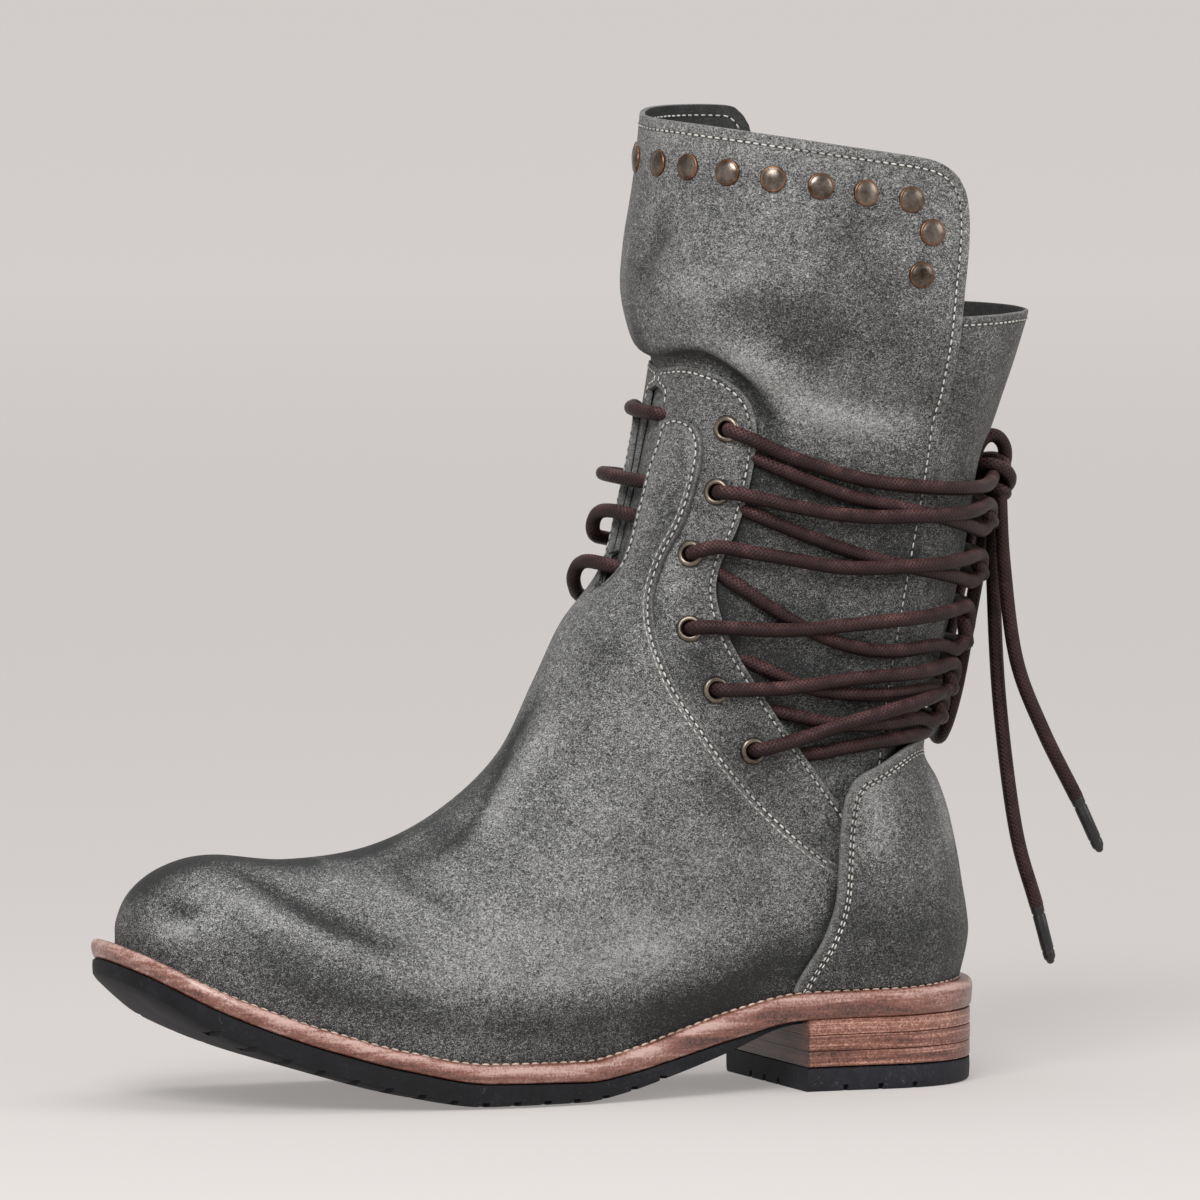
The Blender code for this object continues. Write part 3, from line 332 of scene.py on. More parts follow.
upperChart = makeChart(upperTable, 0.0)
eyestayChart = makeChart(upperTable, outBy["eyestay"])
counterChart = makeChart(upperTable, outBy["counter"])
shaftChart = makeChart(shaftTable, 0.0)
gussetChart = makeChart(shaftTable, outBy["gusset"])
print("skins charted")


# numbers are set on a node's sockets, outputs of other nodes are linked to them
def feed(tree, node, sockets):
    for name, value in sockets.items():
        if isinstance(value, bpy.types.NodeSocket):
            tree.links.new(value, node.inputs[name])
        else:
            node.inputs[name].default_value = value


def put(tree, kind, sockets=None, **settings):
    made = tree.nodes.new(kind)
    for name, value in settings.items():
        setattr(made, name, value)
    feed(tree, made, sockets or {})
    return made


def calc(tree, operation, a, b=0.0, clamp=False):
    return put(tree, "ShaderNodeMath", {0: a, 1: b}, operation=operation, use_clamp=clamp).outputs[0]


# a sum of values, each times its share
def weighed(tree, *parts):
    total = calc(tree, "MULTIPLY", *parts[0])
    for part in parts[1:]:
        total = calc(tree, "ADD", total, calc(tree, "MULTIPLY", *part))
    return total


# start plus a share of a value
def plusShare(tree, start, value, share):
    return calc(tree, "ADD", start, calc(tree, "MULTIPLY", value, share))


def minus(tree, value, by=0.5):
    return calc(tree, "SUBTRACT", value, by)


def objectPlace(tree):
    return put(tree, "ShaderNodeTexCoord").outputs["Object"]


def ownNumber(tree, name):
    return put(tree, "ShaderNodeAttribute", attribute_name=name).outputs["Fac"]


def stretched(tree, where, scale):
    return put(tree, "ShaderNodeMapping", {"Vector": where, "Scale": scale}).outputs[0]


def bumpFrom(tree, height, strength, depth):
    sockets = {"Strength": strength, "Distance": depth, "Height": height}
    return put(tree, "ShaderNodeBump", sockets).outputs[0]


def noiseAt(tree, where, scale, detail=2.0, rough=0.5, twist=0.0):
    sockets = {"Vector": where, "Scale": scale, "Detail": detail, "Roughness": rough, "Distortion": twist}
    return put(tree, "ShaderNodeTexNoise", sockets).outputs[0]


def ramp(tree, value, stops):
    made = put(tree, "ShaderNodeValToRGB", {0: value})
    while len(made.color_ramp.elements) < len(stops):
        made.color_ramp.elements.new(0.5)
    for element, (place, colour) in zip(made.color_ramp.elements, stops):
        element.position = place
        element.color = (*colour, 1.0)
    return made.outputs[0]


def grey(value):
    return (value, value, value * 0.985)


def greyRamp(tree, value, stops):
    return ramp(tree, value, [(place, grey(shade)) for place, shade in stops])


def mixed(tree, amount, one, two):
    sockets = {"Fac": amount, "Color1": one, "Color2": two}
    for name in ("Color1", "Color2"):
        if isinstance(sockets[name], tuple):
            sockets[name] = (*sockets[name], 1.0)
    return put(tree, "ShaderNodeMixRGB", sockets).outputs[0]


def newMaterial(name):
    made = bpy.data.materials.new(name)
    made.use_nodes = True
    return made, made.node_tree, made.node_tree.nodes["Principled BSDF"]


def newGroup(name, inputs, outputs):
    tree = bpy.data.node_groups.new(name, "ShaderNodeTree")
    for label, kind, value in inputs:
        socket = tree.interface.new_socket(label, in_out="INPUT", socket_type=kind)
        if value is not None:
            socket.default_value = value
    for label, kind in outputs:
        tree.interface.new_socket(label, in_out="OUTPUT", socket_type=kind)
    return tree, tree.nodes.new("NodeGroupInput").outputs, tree.nodes.new("NodeGroupOutput").inputs


leatherSet = dict(clouds=0.55, blotches=0.24, fibres=1.35, paintedShadingAndWearShare=0.36, rimTone=0.68, rimShare=0.6,
                  seamTone=0.3, seamShare=0.65, ridgeTone=0.66, ridgeShare=0.55, bump=0.45, bumpDepth=0.0005,
                  roughness=0.6, pressed=1.2, grooveHalf=0.7,
                  shades=((0.0, 0.012), (0.3, 0.055), (0.5, 0.14), (0.72, 0.27), (1.0, 0.46)))
napSet = dict(clouds=30.0, blotches=190.0, drawn=(1.05, 1.05, 1.4), curls=(1080.0, 960.0), sharp=9.0,
              flecks=1700.0)


# short brushed nap: thin pale and dark curls over slow clouds, with its height
def makeNapGroup():
    tree, given, wanted = newGroup(
        "brushedNap",
        (("Vector", "NodeSocketVector", None), ("Clouds", "NodeSocketFloat", 0.5),
         ("Blotches", "NodeSocketFloat", 0.5), ("Fibres", "NodeSocketFloat", 0.5)),
        (("Tone", "NodeSocketFloat"), ("Height", "NodeSocketFloat")))
    where = given["Vector"]
    clouds = noiseAt(tree, where, napSet["clouds"], 3.0, 0.6, 0.3)
    blotches = noiseAt(tree, where, napSet["blotches"], 3.0, 0.62, 0.5)
    drawn = stretched(tree, where, napSet["drawn"])
    curls = []
    for scale in napSet["curls"]:
        line = noiseAt(tree, drawn, scale, 0.2, 0.5, 1.5)
        off = calc(tree, "ABSOLUTE", calc(tree, "MULTIPLY", minus(tree, line), napSet["sharp"]))
        curls.append(calc(tree, "SUBTRACT", 1.0, off, True))
    fibres = calc(tree, "ADD", weighed(tree, (curls[0], 0.75), (curls[1], -0.45)), 0.4)
    flecks = noiseAt(tree, drawn, napSet["flecks"], 1.0, 0.5, 1.0)
    fibres = weighed(tree, (fibres, 0.7), (flecks, 0.3))
    tone = weighed(tree, (minus(tree, clouds), given["Clouds"]), (minus(tree, blotches), given["Blotches"]),
                   (minus(tree, fibres), given["Fibres"]))
    tree.links.new(calc(tree, "ADD", tone, 0.5), wanted["Tone"])
    tree.links.new(plusShare(tree, fibres, blotches, 0.5), wanted["Height"])
    return tree


# rubbed rim and pressed seam, both from the piece's own distance to its cut edge in millimetres
def makeRimGroup():
    tree, given, wanted = newGroup(
        "rubbedRim",
        (("Edge", "NodeSocketFloat", 9.0), ("Seam", "NodeSocketFloat", 1.7),
         ("Rim", "NodeSocketFloat", 0.8)),
        (("Light", "NodeSocketFloat"), ("Groove", "NodeSocketFloat")))
    rim = calc(tree, "SUBTRACT", 1.0, calc(tree, "DIVIDE", given["Edge"], given["Rim"]), True)
    off = calc(tree, "DIVIDE", minus(tree, given["Edge"], given["Seam"]), leatherSet["grooveHalf"])
    groove = calc(tree, "SUBTRACT", 1.0, calc(tree, "MULTIPLY", off, off), True)
    tree.links.new(rim, wanted["Light"])
    tree.links.new(groove, wanted["Groove"])
    return tree


napGroup = makeNapGroup()
rimGroup = makeRimGroup()


def useGroup(tree, group, sockets):
    return put(tree, "ShaderNodeGroup", sockets, node_tree=group).outputs


def pulledTo(tree, value, place, mask):
    off = calc(tree, "SUBTRACT", leatherSet[place + "Tone"], value)
    share = calc(tree, "MULTIPLY", mask, leatherSet[place + "Share"])
    return plusShare(tree, value, off, share)


# pressed dark along its stitches, with painted shade in the groove; rubbed pale on the cut edge; rubbed pale
# and a painted highlight on any raised ridge inside it
def greyNapLeather(name, seam, lift, rimWide=0.8, ridge=0.0):
    made, tree, shader = newMaterial(name)
    nap = useGroup(tree, napGroup, {"Vector": objectPlace(tree), "Clouds": leatherSet["clouds"],
                                    "Blotches": leatherSet["blotches"], "Fibres": leatherSet["fibres"]})
    edge = ownNumber(tree, "edge")
    rim = useGroup(tree, rimGroup, {"Edge": edge, "Seam": seam, "Rim": rimWide})
    # the piece's own darker and paler places: burnished and rubbed leather, painted shade in creases, under
    # folds and laces and beside edges, and painted highlights
    tone = plusShare(tree, nap["Tone"], ownNumber(tree, "paintedShadingAndWear"), leatherSet["paintedShadingAndWearShare"])
    # lift moves the whole piece's tone; the lifts differ piece by piece as painted shade for pieces that get
    # less light
    tone = calc(tree, "ADD", tone, lift)
    tone = pulledTo(tree, tone, "rim", rim["Light"])
    # pressed nap along the stitches, darkened with painted shade in the stitch groove
    tone = pulledTo(tree, tone, "seam", rim["Groove"])
    # paler band for a raised ridge: rubbed nap and a painted highlight
    if ridge:
        raisedLine = useGroup(tree, rimGroup, {"Edge": edge, "Seam": ridge})["Groove"]
        tone = pulledTo(tree, tone, "ridge", raisedLine)
    height = plusShare(tree, nap["Height"], rim["Groove"], -leatherSet["pressed"])
    feed(tree, shader, {"Base Color": greyRamp(tree, tone, leatherSet["shades"]),
                        "Roughness": plusShare(tree, leatherSet["roughness"], nap["Tone"], 0.2),
                        "Normal": bumpFrom(tree, height, leatherSet["bump"], leatherSet["bumpDepth"]),
                        "Specular IOR Level": 0.32, "Sheen Weight": 0.04, "Sheen Roughness": 0.5})
    return made


def liningLeather():
    made, tree, shader = newMaterial("charcoalLining")
    nap = useGroup(tree, napGroup, {"Vector": objectPlace(tree), "Fibres": 0.6})
    colour = greyRamp(tree, nap["Tone"], ((0.1, 0.008), (0.5, 0.03), (0.9, 0.09)))
    feed(tree, shader, {"Base Color": colour, "Roughness": 0.9,
                        "Normal": bumpFrom(tree, nap["Height"], 0.4, 0.0004)})
    return made


lining = liningLeather()
# copies of one grey leather, darkened by different amounts piece by piece: painted shade
napUpper = greyNapLeather("greyNapUpper", seamInside["upper"], -0.055, rimWide=0.5,
                          ridge=seamInside["upperFine"])
napEyestay = greyNapLeather("greyNapEyestay", seamInside["eyestay"], -0.12)
napCounter = greyNapLeather("greyNapCounter", sum(seamInside["counter"]) / 2, -0.15, rimWide=3.0)
napShaft = greyNapLeather("greyNapShaft", seamInside["shaft"], -0.045)
napGusset = greyNapLeather("greyNapGusset", seamInside["gusset"], -0.115)
print("leathers mixed")


def sheetGrid(name, columns, rows):
    bpy.ops.object.select_all(action="DESELECT")
    bpy.ops.mesh.primitive_grid_add(x_subdivisions=columns, y_subdivisions=rows, size=1.0)
    piece = bpy.context.object
    piece.name = name
    piece.data.name = name
    flat = np.empty(len(piece.data.vertices) * 3)
    piece.data.vertices.foreach_get("co", flat)
    flat = flat.reshape(-1, 3)
    return piece, flat[:, 0] + 0.5, flat[:, 1] + 0.5


def moveTo(piece, spots):
    piece.data.vertices.foreach_set("co", metres(spots).ravel())
    piece.data.update()


def setNumbers(piece, name, values):
    layer = piece.data.attributes.new(name, "FLOAT", "POINT")
    layer.data.foreach_set("value", np.asarray(values, np.float32))


def faceOutward(piece, out):
    normals = np.empty(len(piece.data.vertices) * 3)
    piece.data.vertices.foreach_get("normal", normals)
    if (normals.reshape(-1, 3) * out).sum(axis=1).mean() < 0:
        piece.data.flip_normals()


def selectOnly(piece):
    bpy.ops.object.select_all(action="DESELECT")
    piece.select_set(True)
    bpy.context.view_layer.objects.active = piece


def weld(piece, within=0.00002, delete=None):
    selectOnly(piece)
    bpy.context.tool_settings.mesh_select_mode = (False, False, True)
    if delete is not None:
        bpy.ops.object.mode_set(mode="EDIT")
        bpy.ops.mesh.select_all(action="DESELECT")
        bpy.ops.object.mode_set(mode="OBJECT")
        piece.data.polygons.foreach_set("select", np.asarray(delete, bool))
    bpy.ops.object.mode_set(mode="EDIT")
    if delete is not None:
        bpy.ops.mesh.delete(type="FACE")
    bpy.ops.mesh.select_all(action="SELECT")
    bpy.ops.mesh.remove_doubles(threshold=within)
    bpy.ops.object.mode_set(mode="OBJECT")


def joinPieces(name, pieces):
    bpy.ops.object.select_all(action="DESELECT")
    for piece in pieces:
        piece.select_set(True)
    bpy.context.view_layer.objects.active = pieces[0]
    bpy.ops.object.join()
    made = bpy.context.object
    made.name = name
    made.data.name = name
    return made


def paint(piece, *skins):
    piece.data.materials.clear()
    for skin in skins:
        piece.data.materials.append(skin)


def turnOutward(piece):
    selectOnly(piece)
    bpy.ops.object.mode_set(mode="EDIT")
    bpy.ops.mesh.select_all(action="SELECT")
    bpy.ops.mesh.normals_make_consistent(inside=False)
    bpy.ops.object.mode_set(mode="OBJECT")


def applyAll(piece):
    selectOnly(piece)
    for modifier in list(piece.modifiers):
        bpy.ops.object.modifier_apply(modifier=modifier.name)


def roundOver(piece, width, angle=50.0, segments=2):
    bevel = piece.modifiers.new("roundOver", "BEVEL")
    bevel.width = width * 0.001
    bevel.segments = segments
    bevel.limit_method = "ANGLE"
    bevel.angle_limit = math.radians(angle)


def addWall(piece, thickness):
    solid = piece.modifiers.new("wall", "SOLIDIFY")
    solid.thickness = thickness * 0.001
    solid.offset = -1.0
    solid.material_offset = 1
    solid.material_offset_rim = 0


def softenEdges(piece, width):
    roundOver(piece, width)
    applyAll(piece)
    selectOnly(piece)
    bpy.ops.object.shade_smooth()


def thicken(piece, thickness, edge=0.45):
    addWall(piece, thickness)
    softenEdges(piece, edge)


def cutAway(piece, cutters):
    cutter = joinPieces("cutter", cutters)
    cut = piece.modifiers.new("cut", "BOOLEAN")
    cut.object = cutter
    cut.operation = "DIFFERENCE"
    cut.solver = "EXACT"
    applyAll(piece)
    bpy.data.objects.remove(cutter, do_unlink=True)


def finishPiece(piece, slot, *nodes):
    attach(piece, "root")
    if nodes:
        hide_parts(*nodes)


def densify(line, step=0.3):
    line = np.asarray(line, float)
    along = lengthAlong(line)
    return readAt(np.linspace(0, along[-1], max(2, int(along[-1] / step) + 1)), along, line)


def edgeDistance(spots, lines, reach=12.0):
    points = np.concatenate([densify(line) for line in lines])
    tree = KDTree(len(points))
    for i, point in enumerate(points):
        tree.insert(point, i)
    tree.balance()
    return np.array([min(tree.find(spot)[2], reach) for spot in spots])


# a leather sheet on its skin: worn places and painted shading, distance to the cut edge, finish outside and
# lining inside
def dressSheet(piece, spots, out, rims, paintedShadingAndWear, skin):
    moveTo(piece, spots)
    setNumbers(piece, "edge", edgeDistance(spots, rims))
    setNumbers(piece, "paintedShadingAndWear", paintedShadingAndWear)
    paint(piece, skin, lining)
    faceOutward(piece, out)


# distance of points to a line and how far along it the nearest place is, from 0 to 1
def awayFrom(spots, line):
    a, d = line[:-1], np.diff(line, axis=0)
    size = np.linalg.norm(d, axis=1)
    start = np.concatenate([[0], np.cumsum(size)[:-1]])
    best, along = np.full(len(spots), 1e9), np.zeros(len(spots))
    for k in range(len(a)):
        u = np.clip(((spots - a[k]) @ d[k]) / max(size[k] ** 2, 1e-9), 0, 1)
        away = np.linalg.norm(spots - a[k] - u[:, None] * d[k], axis=1)
        nearer = away < best
        best = np.where(nearer, away, best)
        along = np.where(nearer, start[k] + u * size[k], along)
    return best, along / size.sum()


# folds and places painted darker or paler: side, width, depth in millimetres, tone from dark to pale
# and the line's x, z points; each fades towards its two ends. The tones are burnished and rubbed leather,
# painted shade in creases, under folds and beside edges, and painted highlights on ridges and the toe
foldSet = dict(sides=dict(lateral=(-1,), medial=(1,), both=(-1, 1)), endShare=0.25, endSlope=4,
               paintedShadingAndWearRange=(-2.0, 1.2))


def shapeFolds(chart, spots, folds):
    height, paintedShadingAndWear = np.zeros(len(spots)), np.zeros(len(spots))
    for side, width, depth, tone, points in folds:
        line = onChart(chart, points, 3)
        for sign in foldSet["sides"][side]:
            path = onSkin(chart["table"], sign * line[:, 0], line[:, 1], chart["out"])[0]
            away, along = awayFrom(spots, path)
            soft = np.exp(-(away / width) ** 2)
            fromEnd = np.minimum(along, 1 - along)
            soft = soft * np.minimum(1, foldSet["endShare"] + foldSet["endSlope"] * fromEnd)
            height += depth * soft
            paintedShadingAndWear += tone * soft
    return height, np.clip(paintedShadingAndWear, *foldSet["paintedShadingAndWearRange"])


# slow waves that keep soft leather from looking turned on a lathe
def slowWaves(spots, size, seed):
    made = np.zeros(len(spots))
    spread = np.random.default_rng(seed)
    for k in range(5):
        way = unit(spread.normal(size=3))
        made += np.sin(spots @ way * 2 * np.pi / (size * (0.7 + 0.2 * k)) + spread.uniform(0, 6.28))
    return made / 5


# four edges of a panel, each an array of (around, row), filled in between
def fillPanel(table, low, high, left, right, u, v):
    def reader(line):
        along = lengthAlong(skinPoint(table, line[:, 0], line[:, 1]))
        return lambda at: readAt(at, along / along[-1], line)

    lowAt, highAt, leftAt, rightAt = reader(low), reader(high), reader(left), reader(right)
    uu, vv = u[:, None], v[:, None]
    found = (1 - vv) * lowAt(u) + vv * highAt(u) + (1 - uu) * leftAt(v) + uu * rightAt(v)
    corners = (1 - uu) * (1 - vv) * low[0] + uu * (1 - vv) * low[-1]
    found -= corners + (1 - uu) * vv * high[0] + uu * vv * high[-1]
    return found[:, 0], found[:, 1]


def signed(line, sign):
    return np.stack([sign * line[:, 0], line[:, 1]], axis=1)


# share of the turn where the throat's slot is as wide as its table says, row by row
def slotTurns(table, out, slot, rows):
    half = smoothLine(slot, 6)
    turns = np.linspace(0, 0.4, 161)
    found = []
    for row in rows:
        spots = onSkin(table, -turns, np.full(len(turns), row), out)[0]
        want = np.interp(spots[:, 2], half[:, 0], half[:, 1], left=0.0)
        wide = -spots[:, 1] + middleY(spots[:, 0], spots[:, 2]) - want
        k = int(np.argmax(wide >= 0))
        if k == 0:
            found.append(0.0)
            continue
        found.append(turns[k - 1] + (turns[k] - turns[k - 1]) * -wide[k - 1] / (wide[k] - wide[k - 1]))
    return np.array(found)


def fromRows(line, row):
    order = np.argsort(line[:, 1])
    return np.interp(row, line[order, 1], line[order, 0])


upperSet = dict(columns=240, rows=150, fine=240, crowding=1.3, rowTurn=0.3, waves=0.35, waveSize=46.0,
                waveFrom=(0.3, 2.0), waveTo=(8.0, 10.0), sunk=0.9, darkAboveWelt=(0.5, 0.45), darkAboveWeltRise=(-40, 20),
                darkAboveWeltReach=4.0, slotRow=10.7, rimAbove=0.2)
# darker and paler places of the upper: toe top and instep ridge burnished dark, painted highlights on the toe
# and along the lit side, painted shade in creases and along the counter's front edge, darker low on the side
upperFolds = (
    ("lateral", 3.5, -1.1, -1.2, ((-104, 72), (-96.5, 69.3), (-88.2, 63.6), (-80.8, 58.5), (-73, 54.1),
                                  (-65, 50.6), (-56, 47.3))),
    ("lateral", 4, 0.4, 0.5, ((-112, 65.5), (-102.6, 62.6), (-92, 56.6), (-81, 51.3), (-67, 46.9))),
    ("lateral", 4.2, -0.7, -0.55, ((-54, 67.7), (-47.4, 65), (-41.6, 60.8), (-35.7, 55))),
    ("lateral", 2.4, -0.6, -0.75, ((1, 121.6), (-3.8, 112.9), (-10.9, 101.4), (-17.7, 92.9),
                                   (-27.3, 81.7), (-38, 74))),
    ("lateral", 3.8, 0, 0.9, ((-126, 53.5), (-121.5, 54.5), (-117, 53.5))),
    ("lateral", 3, -0.3, -1.1, ((-122, 61), (-119, 60), (-115.5, 58.5))),
    ("lateral", 6.5, 0, -0.9, ((-106, 46), (-92, 40), (-78, 35.5), (-60, 31), (-29, 25.5), (4.7, 25),
                               (22, 29))),
    ("lateral", 8, 0, -1.6, ((12, 23.5), (28, 26.5), (44, 30), (58, 36), (70, 43.5), (78, 50))),
    ("lateral", 6, 0, -0.4, ((40, 100), (47, 91), (55, 83))),
    ("lateral", 9, 0, 0.35, ((0, 97), (7, 91), (12, 80))),
    ("lateral", 7, 0, -0.35, ((8, 126), (13, 131), (18, 140))),
    ("lateral", 6.5, 0, 0.6, ((-20, 37), (4, 40.5), (24, 45.5), (36, 51), (48, 58))),
    ("lateral", 9, 0.3, 0.38, ((-58, 45), (-40, 44), (-16, 48), (10, 51), (36, 57))),
    ("lateral", 7, 0.2, 0.4, ((-74, 66), (-56, 62), (-34, 57), (-12, 54))),
    ("both", 10, 0, -1.5, ((-127, 60), (-118, 71), (-102, 75), (-80, 73))),
    ("both", 7, 0, -0.5, ((-66, 73), (-44, 79), (-24, 89), (-10, 103), (1, 122))),
    ("lateral", 7, 0, -0.9, ((-58, 70), (-46, 73), (-36, 78), (-28, 85))),
    ("lateral", 6, 0.3, 0.5, ((-26, 78), (-18, 88), (-8, 100), (1, 115))),
    ("both", 7, 0, -0.65, ((27, 152), (33, 165), (38, 182), (40, 200))),
    ("both", 2.6, 0, -1.3, ((71.5, 33), (74.6, 38), (80.6, 46.6), (84.4, 56.8), (85.3, 66.8))),
    ("lateral", 6, 0, -0.5, ((-104, 52), (-94, 47.5), (-84, 43))),
    ("medial", 5, -0.8, -0.5, ((-96, 66), (-84, 58), (-70, 52), (-52, 50))),
    ("medial", 4.5, -0.8, -0.4, ((-50, 70), (-40, 62), (-28, 56))),
    ("medial", 6, 0, -0.6, ((-88, 45), (-55, 34), (-20, 28), (20, 34))),
)


def buildUpper():
    edge = np.concatenate([onChart(upperChart, vampEdge), onChart(upperChart, vampUnderCounter)[1:]])
    top = edge[0, 1]
    fine = np.linspace(0, top, upperSet["fine"])
    arch = onChart(upperChart, fingerArch)
    inner = slotTurns(upperTable, 0.0, fingerSlot, fine)
    inner = np.where(fine > arch[0, 1], np.maximum(inner, fromRows(arch, fine)), inner)
    inner[-1] = edge[0, 0]
    outer = np.where(fine < edge[-1, 1], 1.0, fromRows(edge, fine))
    between = np.minimum((inner + outer) / 2, upperSet["rowTurn"])
    along = lengthAlong(skinPoint(upperTable, -between, fine))

    piece, u, v = sheetGrid("upperPiece", upperSet["columns"] - 1, upperSet["rows"])
    count = len(np.unique(np.round(u, 6)))
    row = np.interp(along[-1] * (1 - (1 - v) ** upperSet["crowding"]), along, fine)
    column = np.round(u * (count - 1)).astype(int)
    half = count // 2
    leftHalf = column < half
    share = np.where(leftHalf, 1 - column / (half - 1), (column - half) / (half - 1))
    innerAt, outerAt = np.interp(row, fine, inner), np.interp(row, fine, outer)
    around = np.clip(share, innerAt, outerAt) * np.where(leftHalf, -1, 1)
    spots, out = onSkin(upperTable, around, row)
    depth, paintedShadingAndWear = shapeFolds(upperChart, spots, upperFolds)
    quiet = ease(row, *upperSet["waveFrom"]) * (1 - ease(row, *upperSet["waveTo"]))
    # darker just above the welt, more so towards the heel
    darkAboveWelt = upperSet["darkAboveWelt"][0] + upperSet["darkAboveWelt"][1] * ease(spots[:, 0], *upperSet["darkAboveWeltRise"])
    paintedShadingAndWear -= darkAboveWelt * np.exp(-np.abs(spots[:, 2] - featherZ(spots[:, 0])) / upperSet["darkAboveWeltReach"])
    depth += upperSet["waves"] * slowWaves(spots, upperSet["waveSize"], 3) * quiet
    spots = spots + out * depth[:, None]
    spots[:, 2] -= upperSet["sunk"] * (v < 1e-6)
    rims = []
    for sign in (-1, 1):
        line = edge[edge[:, 1] > edge[-1, 1] + upperSet["rimAbove"]]
        rims.append(onSkin(upperTable, sign * line[:, 0], line[:, 1])[0])
        slot = fine > upperSet["slotRow"]
        rims.append(onSkin(upperTable, sign * inner[slot], fine[slot])[0])
    dressSheet(piece, spots, out, rims, paintedShadingAndWear, napUpper)
    middle = []
    for face in piece.data.polygons:
        columns = column[list(face.vertices)]
        middle.append(columns.min() == half - 1 and columns.max() == half)
    weld(piece, delete=middle)
    thicken(piece, wall["upper"])
    finishPiece(piece, "upper_leather", "upper")
    return edge, inner, fine


upperEdge, upperInner, upperRows = buildUpper()
print("upper lasted")

eyestaySet = dict(columns=34, rows=150, fine=160, leastTurn=0.006, hole=2.45, drill=9.0, waves=0.25,
                  waveSize=30.0, edge=0.4, frontFrom=153)
# darker and paler bands across the facing: painted highlights on its wrinkles and darker places between
eyestayFolds = (
    ("both", 7, 0, 0.55, ((37, 168), (36, 158), (37, 150))),
    ("both", 7, 0, -0.8, ((40, 138), (43, 129), (48, 120))),
    ("both", 8, 0, -0.55, ((52, 114), (60, 104), (68, 96))),
    ("both", 6, 0, -0.3, ((48, 196), (46, 184), (44, 174))),
)
eyelets = ((51.1, 202.2), (48.1, 183.1), (40.9, 164.3), (39.0, 141.9), (45.9, 123.4), (58.1, 104.5))


def eyeletSpots(sign):
    found = []
    for x, z in eyelets:
        turn, row = spotAt(eyestayChart, x, z)
        spot, out = onSkin(upperTable, [sign * turn], [row], outBy["eyestay"])
        found.append((spot[0], out[0]))
    return found


def buildEyestays():
    outer = onChart(eyestayChart, eyestayEdge)[::-1]
    arch = onChart(eyestayChart, eyestayArch)
    under = onChart(eyestayChart, eyestayUnder)
    rows = np.linspace(under[0, 1], arch[0, 1], eyestaySet["fine"])
    inner = np.maximum(slotTurns(upperTable, outBy["eyestay"], facingSlot, rows),
                       np.where(rows < under[-1, 1], fromRows(under, rows), 0.0))
    inner = np.maximum(inner, eyestaySet["leastTurn"])
    inner[-1] = arch[0, 0]
    inner = np.stack([inner, rows], axis=1)
    low = np.linspace(inner[0], outer[0], 12)
    seams = {}
    for sign, name in ((-1, "lateral"), (1, "medial")):
        piece, u, v = sheetGrid("eyestayPiece_" + name, eyestaySet["columns"], eyestaySet["rows"])
        around, row = fillPanel(upperTable, signed(low, sign), signed(arch, sign), signed(inner, sign),
                                signed(outer, sign), u, v)
        spots, out = onSkin(upperTable, around, row, outBy["eyestay"])
        ends = np.concatenate([signed(outer, sign), signed(arch, sign)[::-1][1:]])
        rim = onSkin(upperTable, ends[:, 0], ends[:, 1], outBy["eyestay"])[0]
        front = onSkin(upperTable, sign * inner[:, 0], inner[:, 1], outBy["eyestay"])[0]
        front = front[front[:, 2] > eyestaySet["frontFrom"]]
        waves = eyestaySet["waves"] * slowWaves(spots, eyestaySet["waveSize"], 5)
        spots = spots + out * waves[:, None]
        paintedShadingAndWear = shapeFolds(eyestayChart, spots, eyestayFolds)[1]
        dressSheet(piece, spots, out, (rim, front), paintedShadingAndWear, napEyestay)
        addWall(piece, wall["eyestay"])
        drills = []
        for spot, way in eyeletSpots(sign):
            bpy.ops.object.select_all(action="DESELECT")
            bpy.ops.mesh.primitive_cylinder_add(vertices=20, radius=eyestaySet["hole"] * 0.001,
                                                depth=eyestaySet["drill"] * 0.001, location=metres(spot),
                                                rotation=Vector(way).to_track_quat("Z", "Y").to_euler())
            drills.append(bpy.context.object)
        cutAway(piece, drills)
        softenEdges(piece, eyestaySet["edge"])
        finishPiece(piece, "upper_leather", "eyestay_" + name)
        seams[sign] = ends
    return seams, inner


eyestaySeams, eyestayInner = buildEyestays()
print("eyestays cut")

counterSet = dict(columns=150, rows=64, waves=0.25, waveSize=40.0, darkAboveWelt=0.6, darkAboveWeltReach=3.5, edge=0.5)
# darker and paler places of the counter: darker along its low edge and across its middle, paler upright bands
counterFolds = (
    ("both", 8, 0, -0.25, ((74, 36), (95, 37), (115, 39), (136, 42))),
    ("lateral", 7, 0.2, 1.0, ((95, 96), (98, 83), (97, 70))),
    ("lateral", 7, 0, 0.9, ((122, 96), (127, 82), (129, 70))),
    ("lateral", 9, 0, -0.6, ((82, 46), (94, 48.5), (106, 49.5), (118, 51), (130, 55))),
)


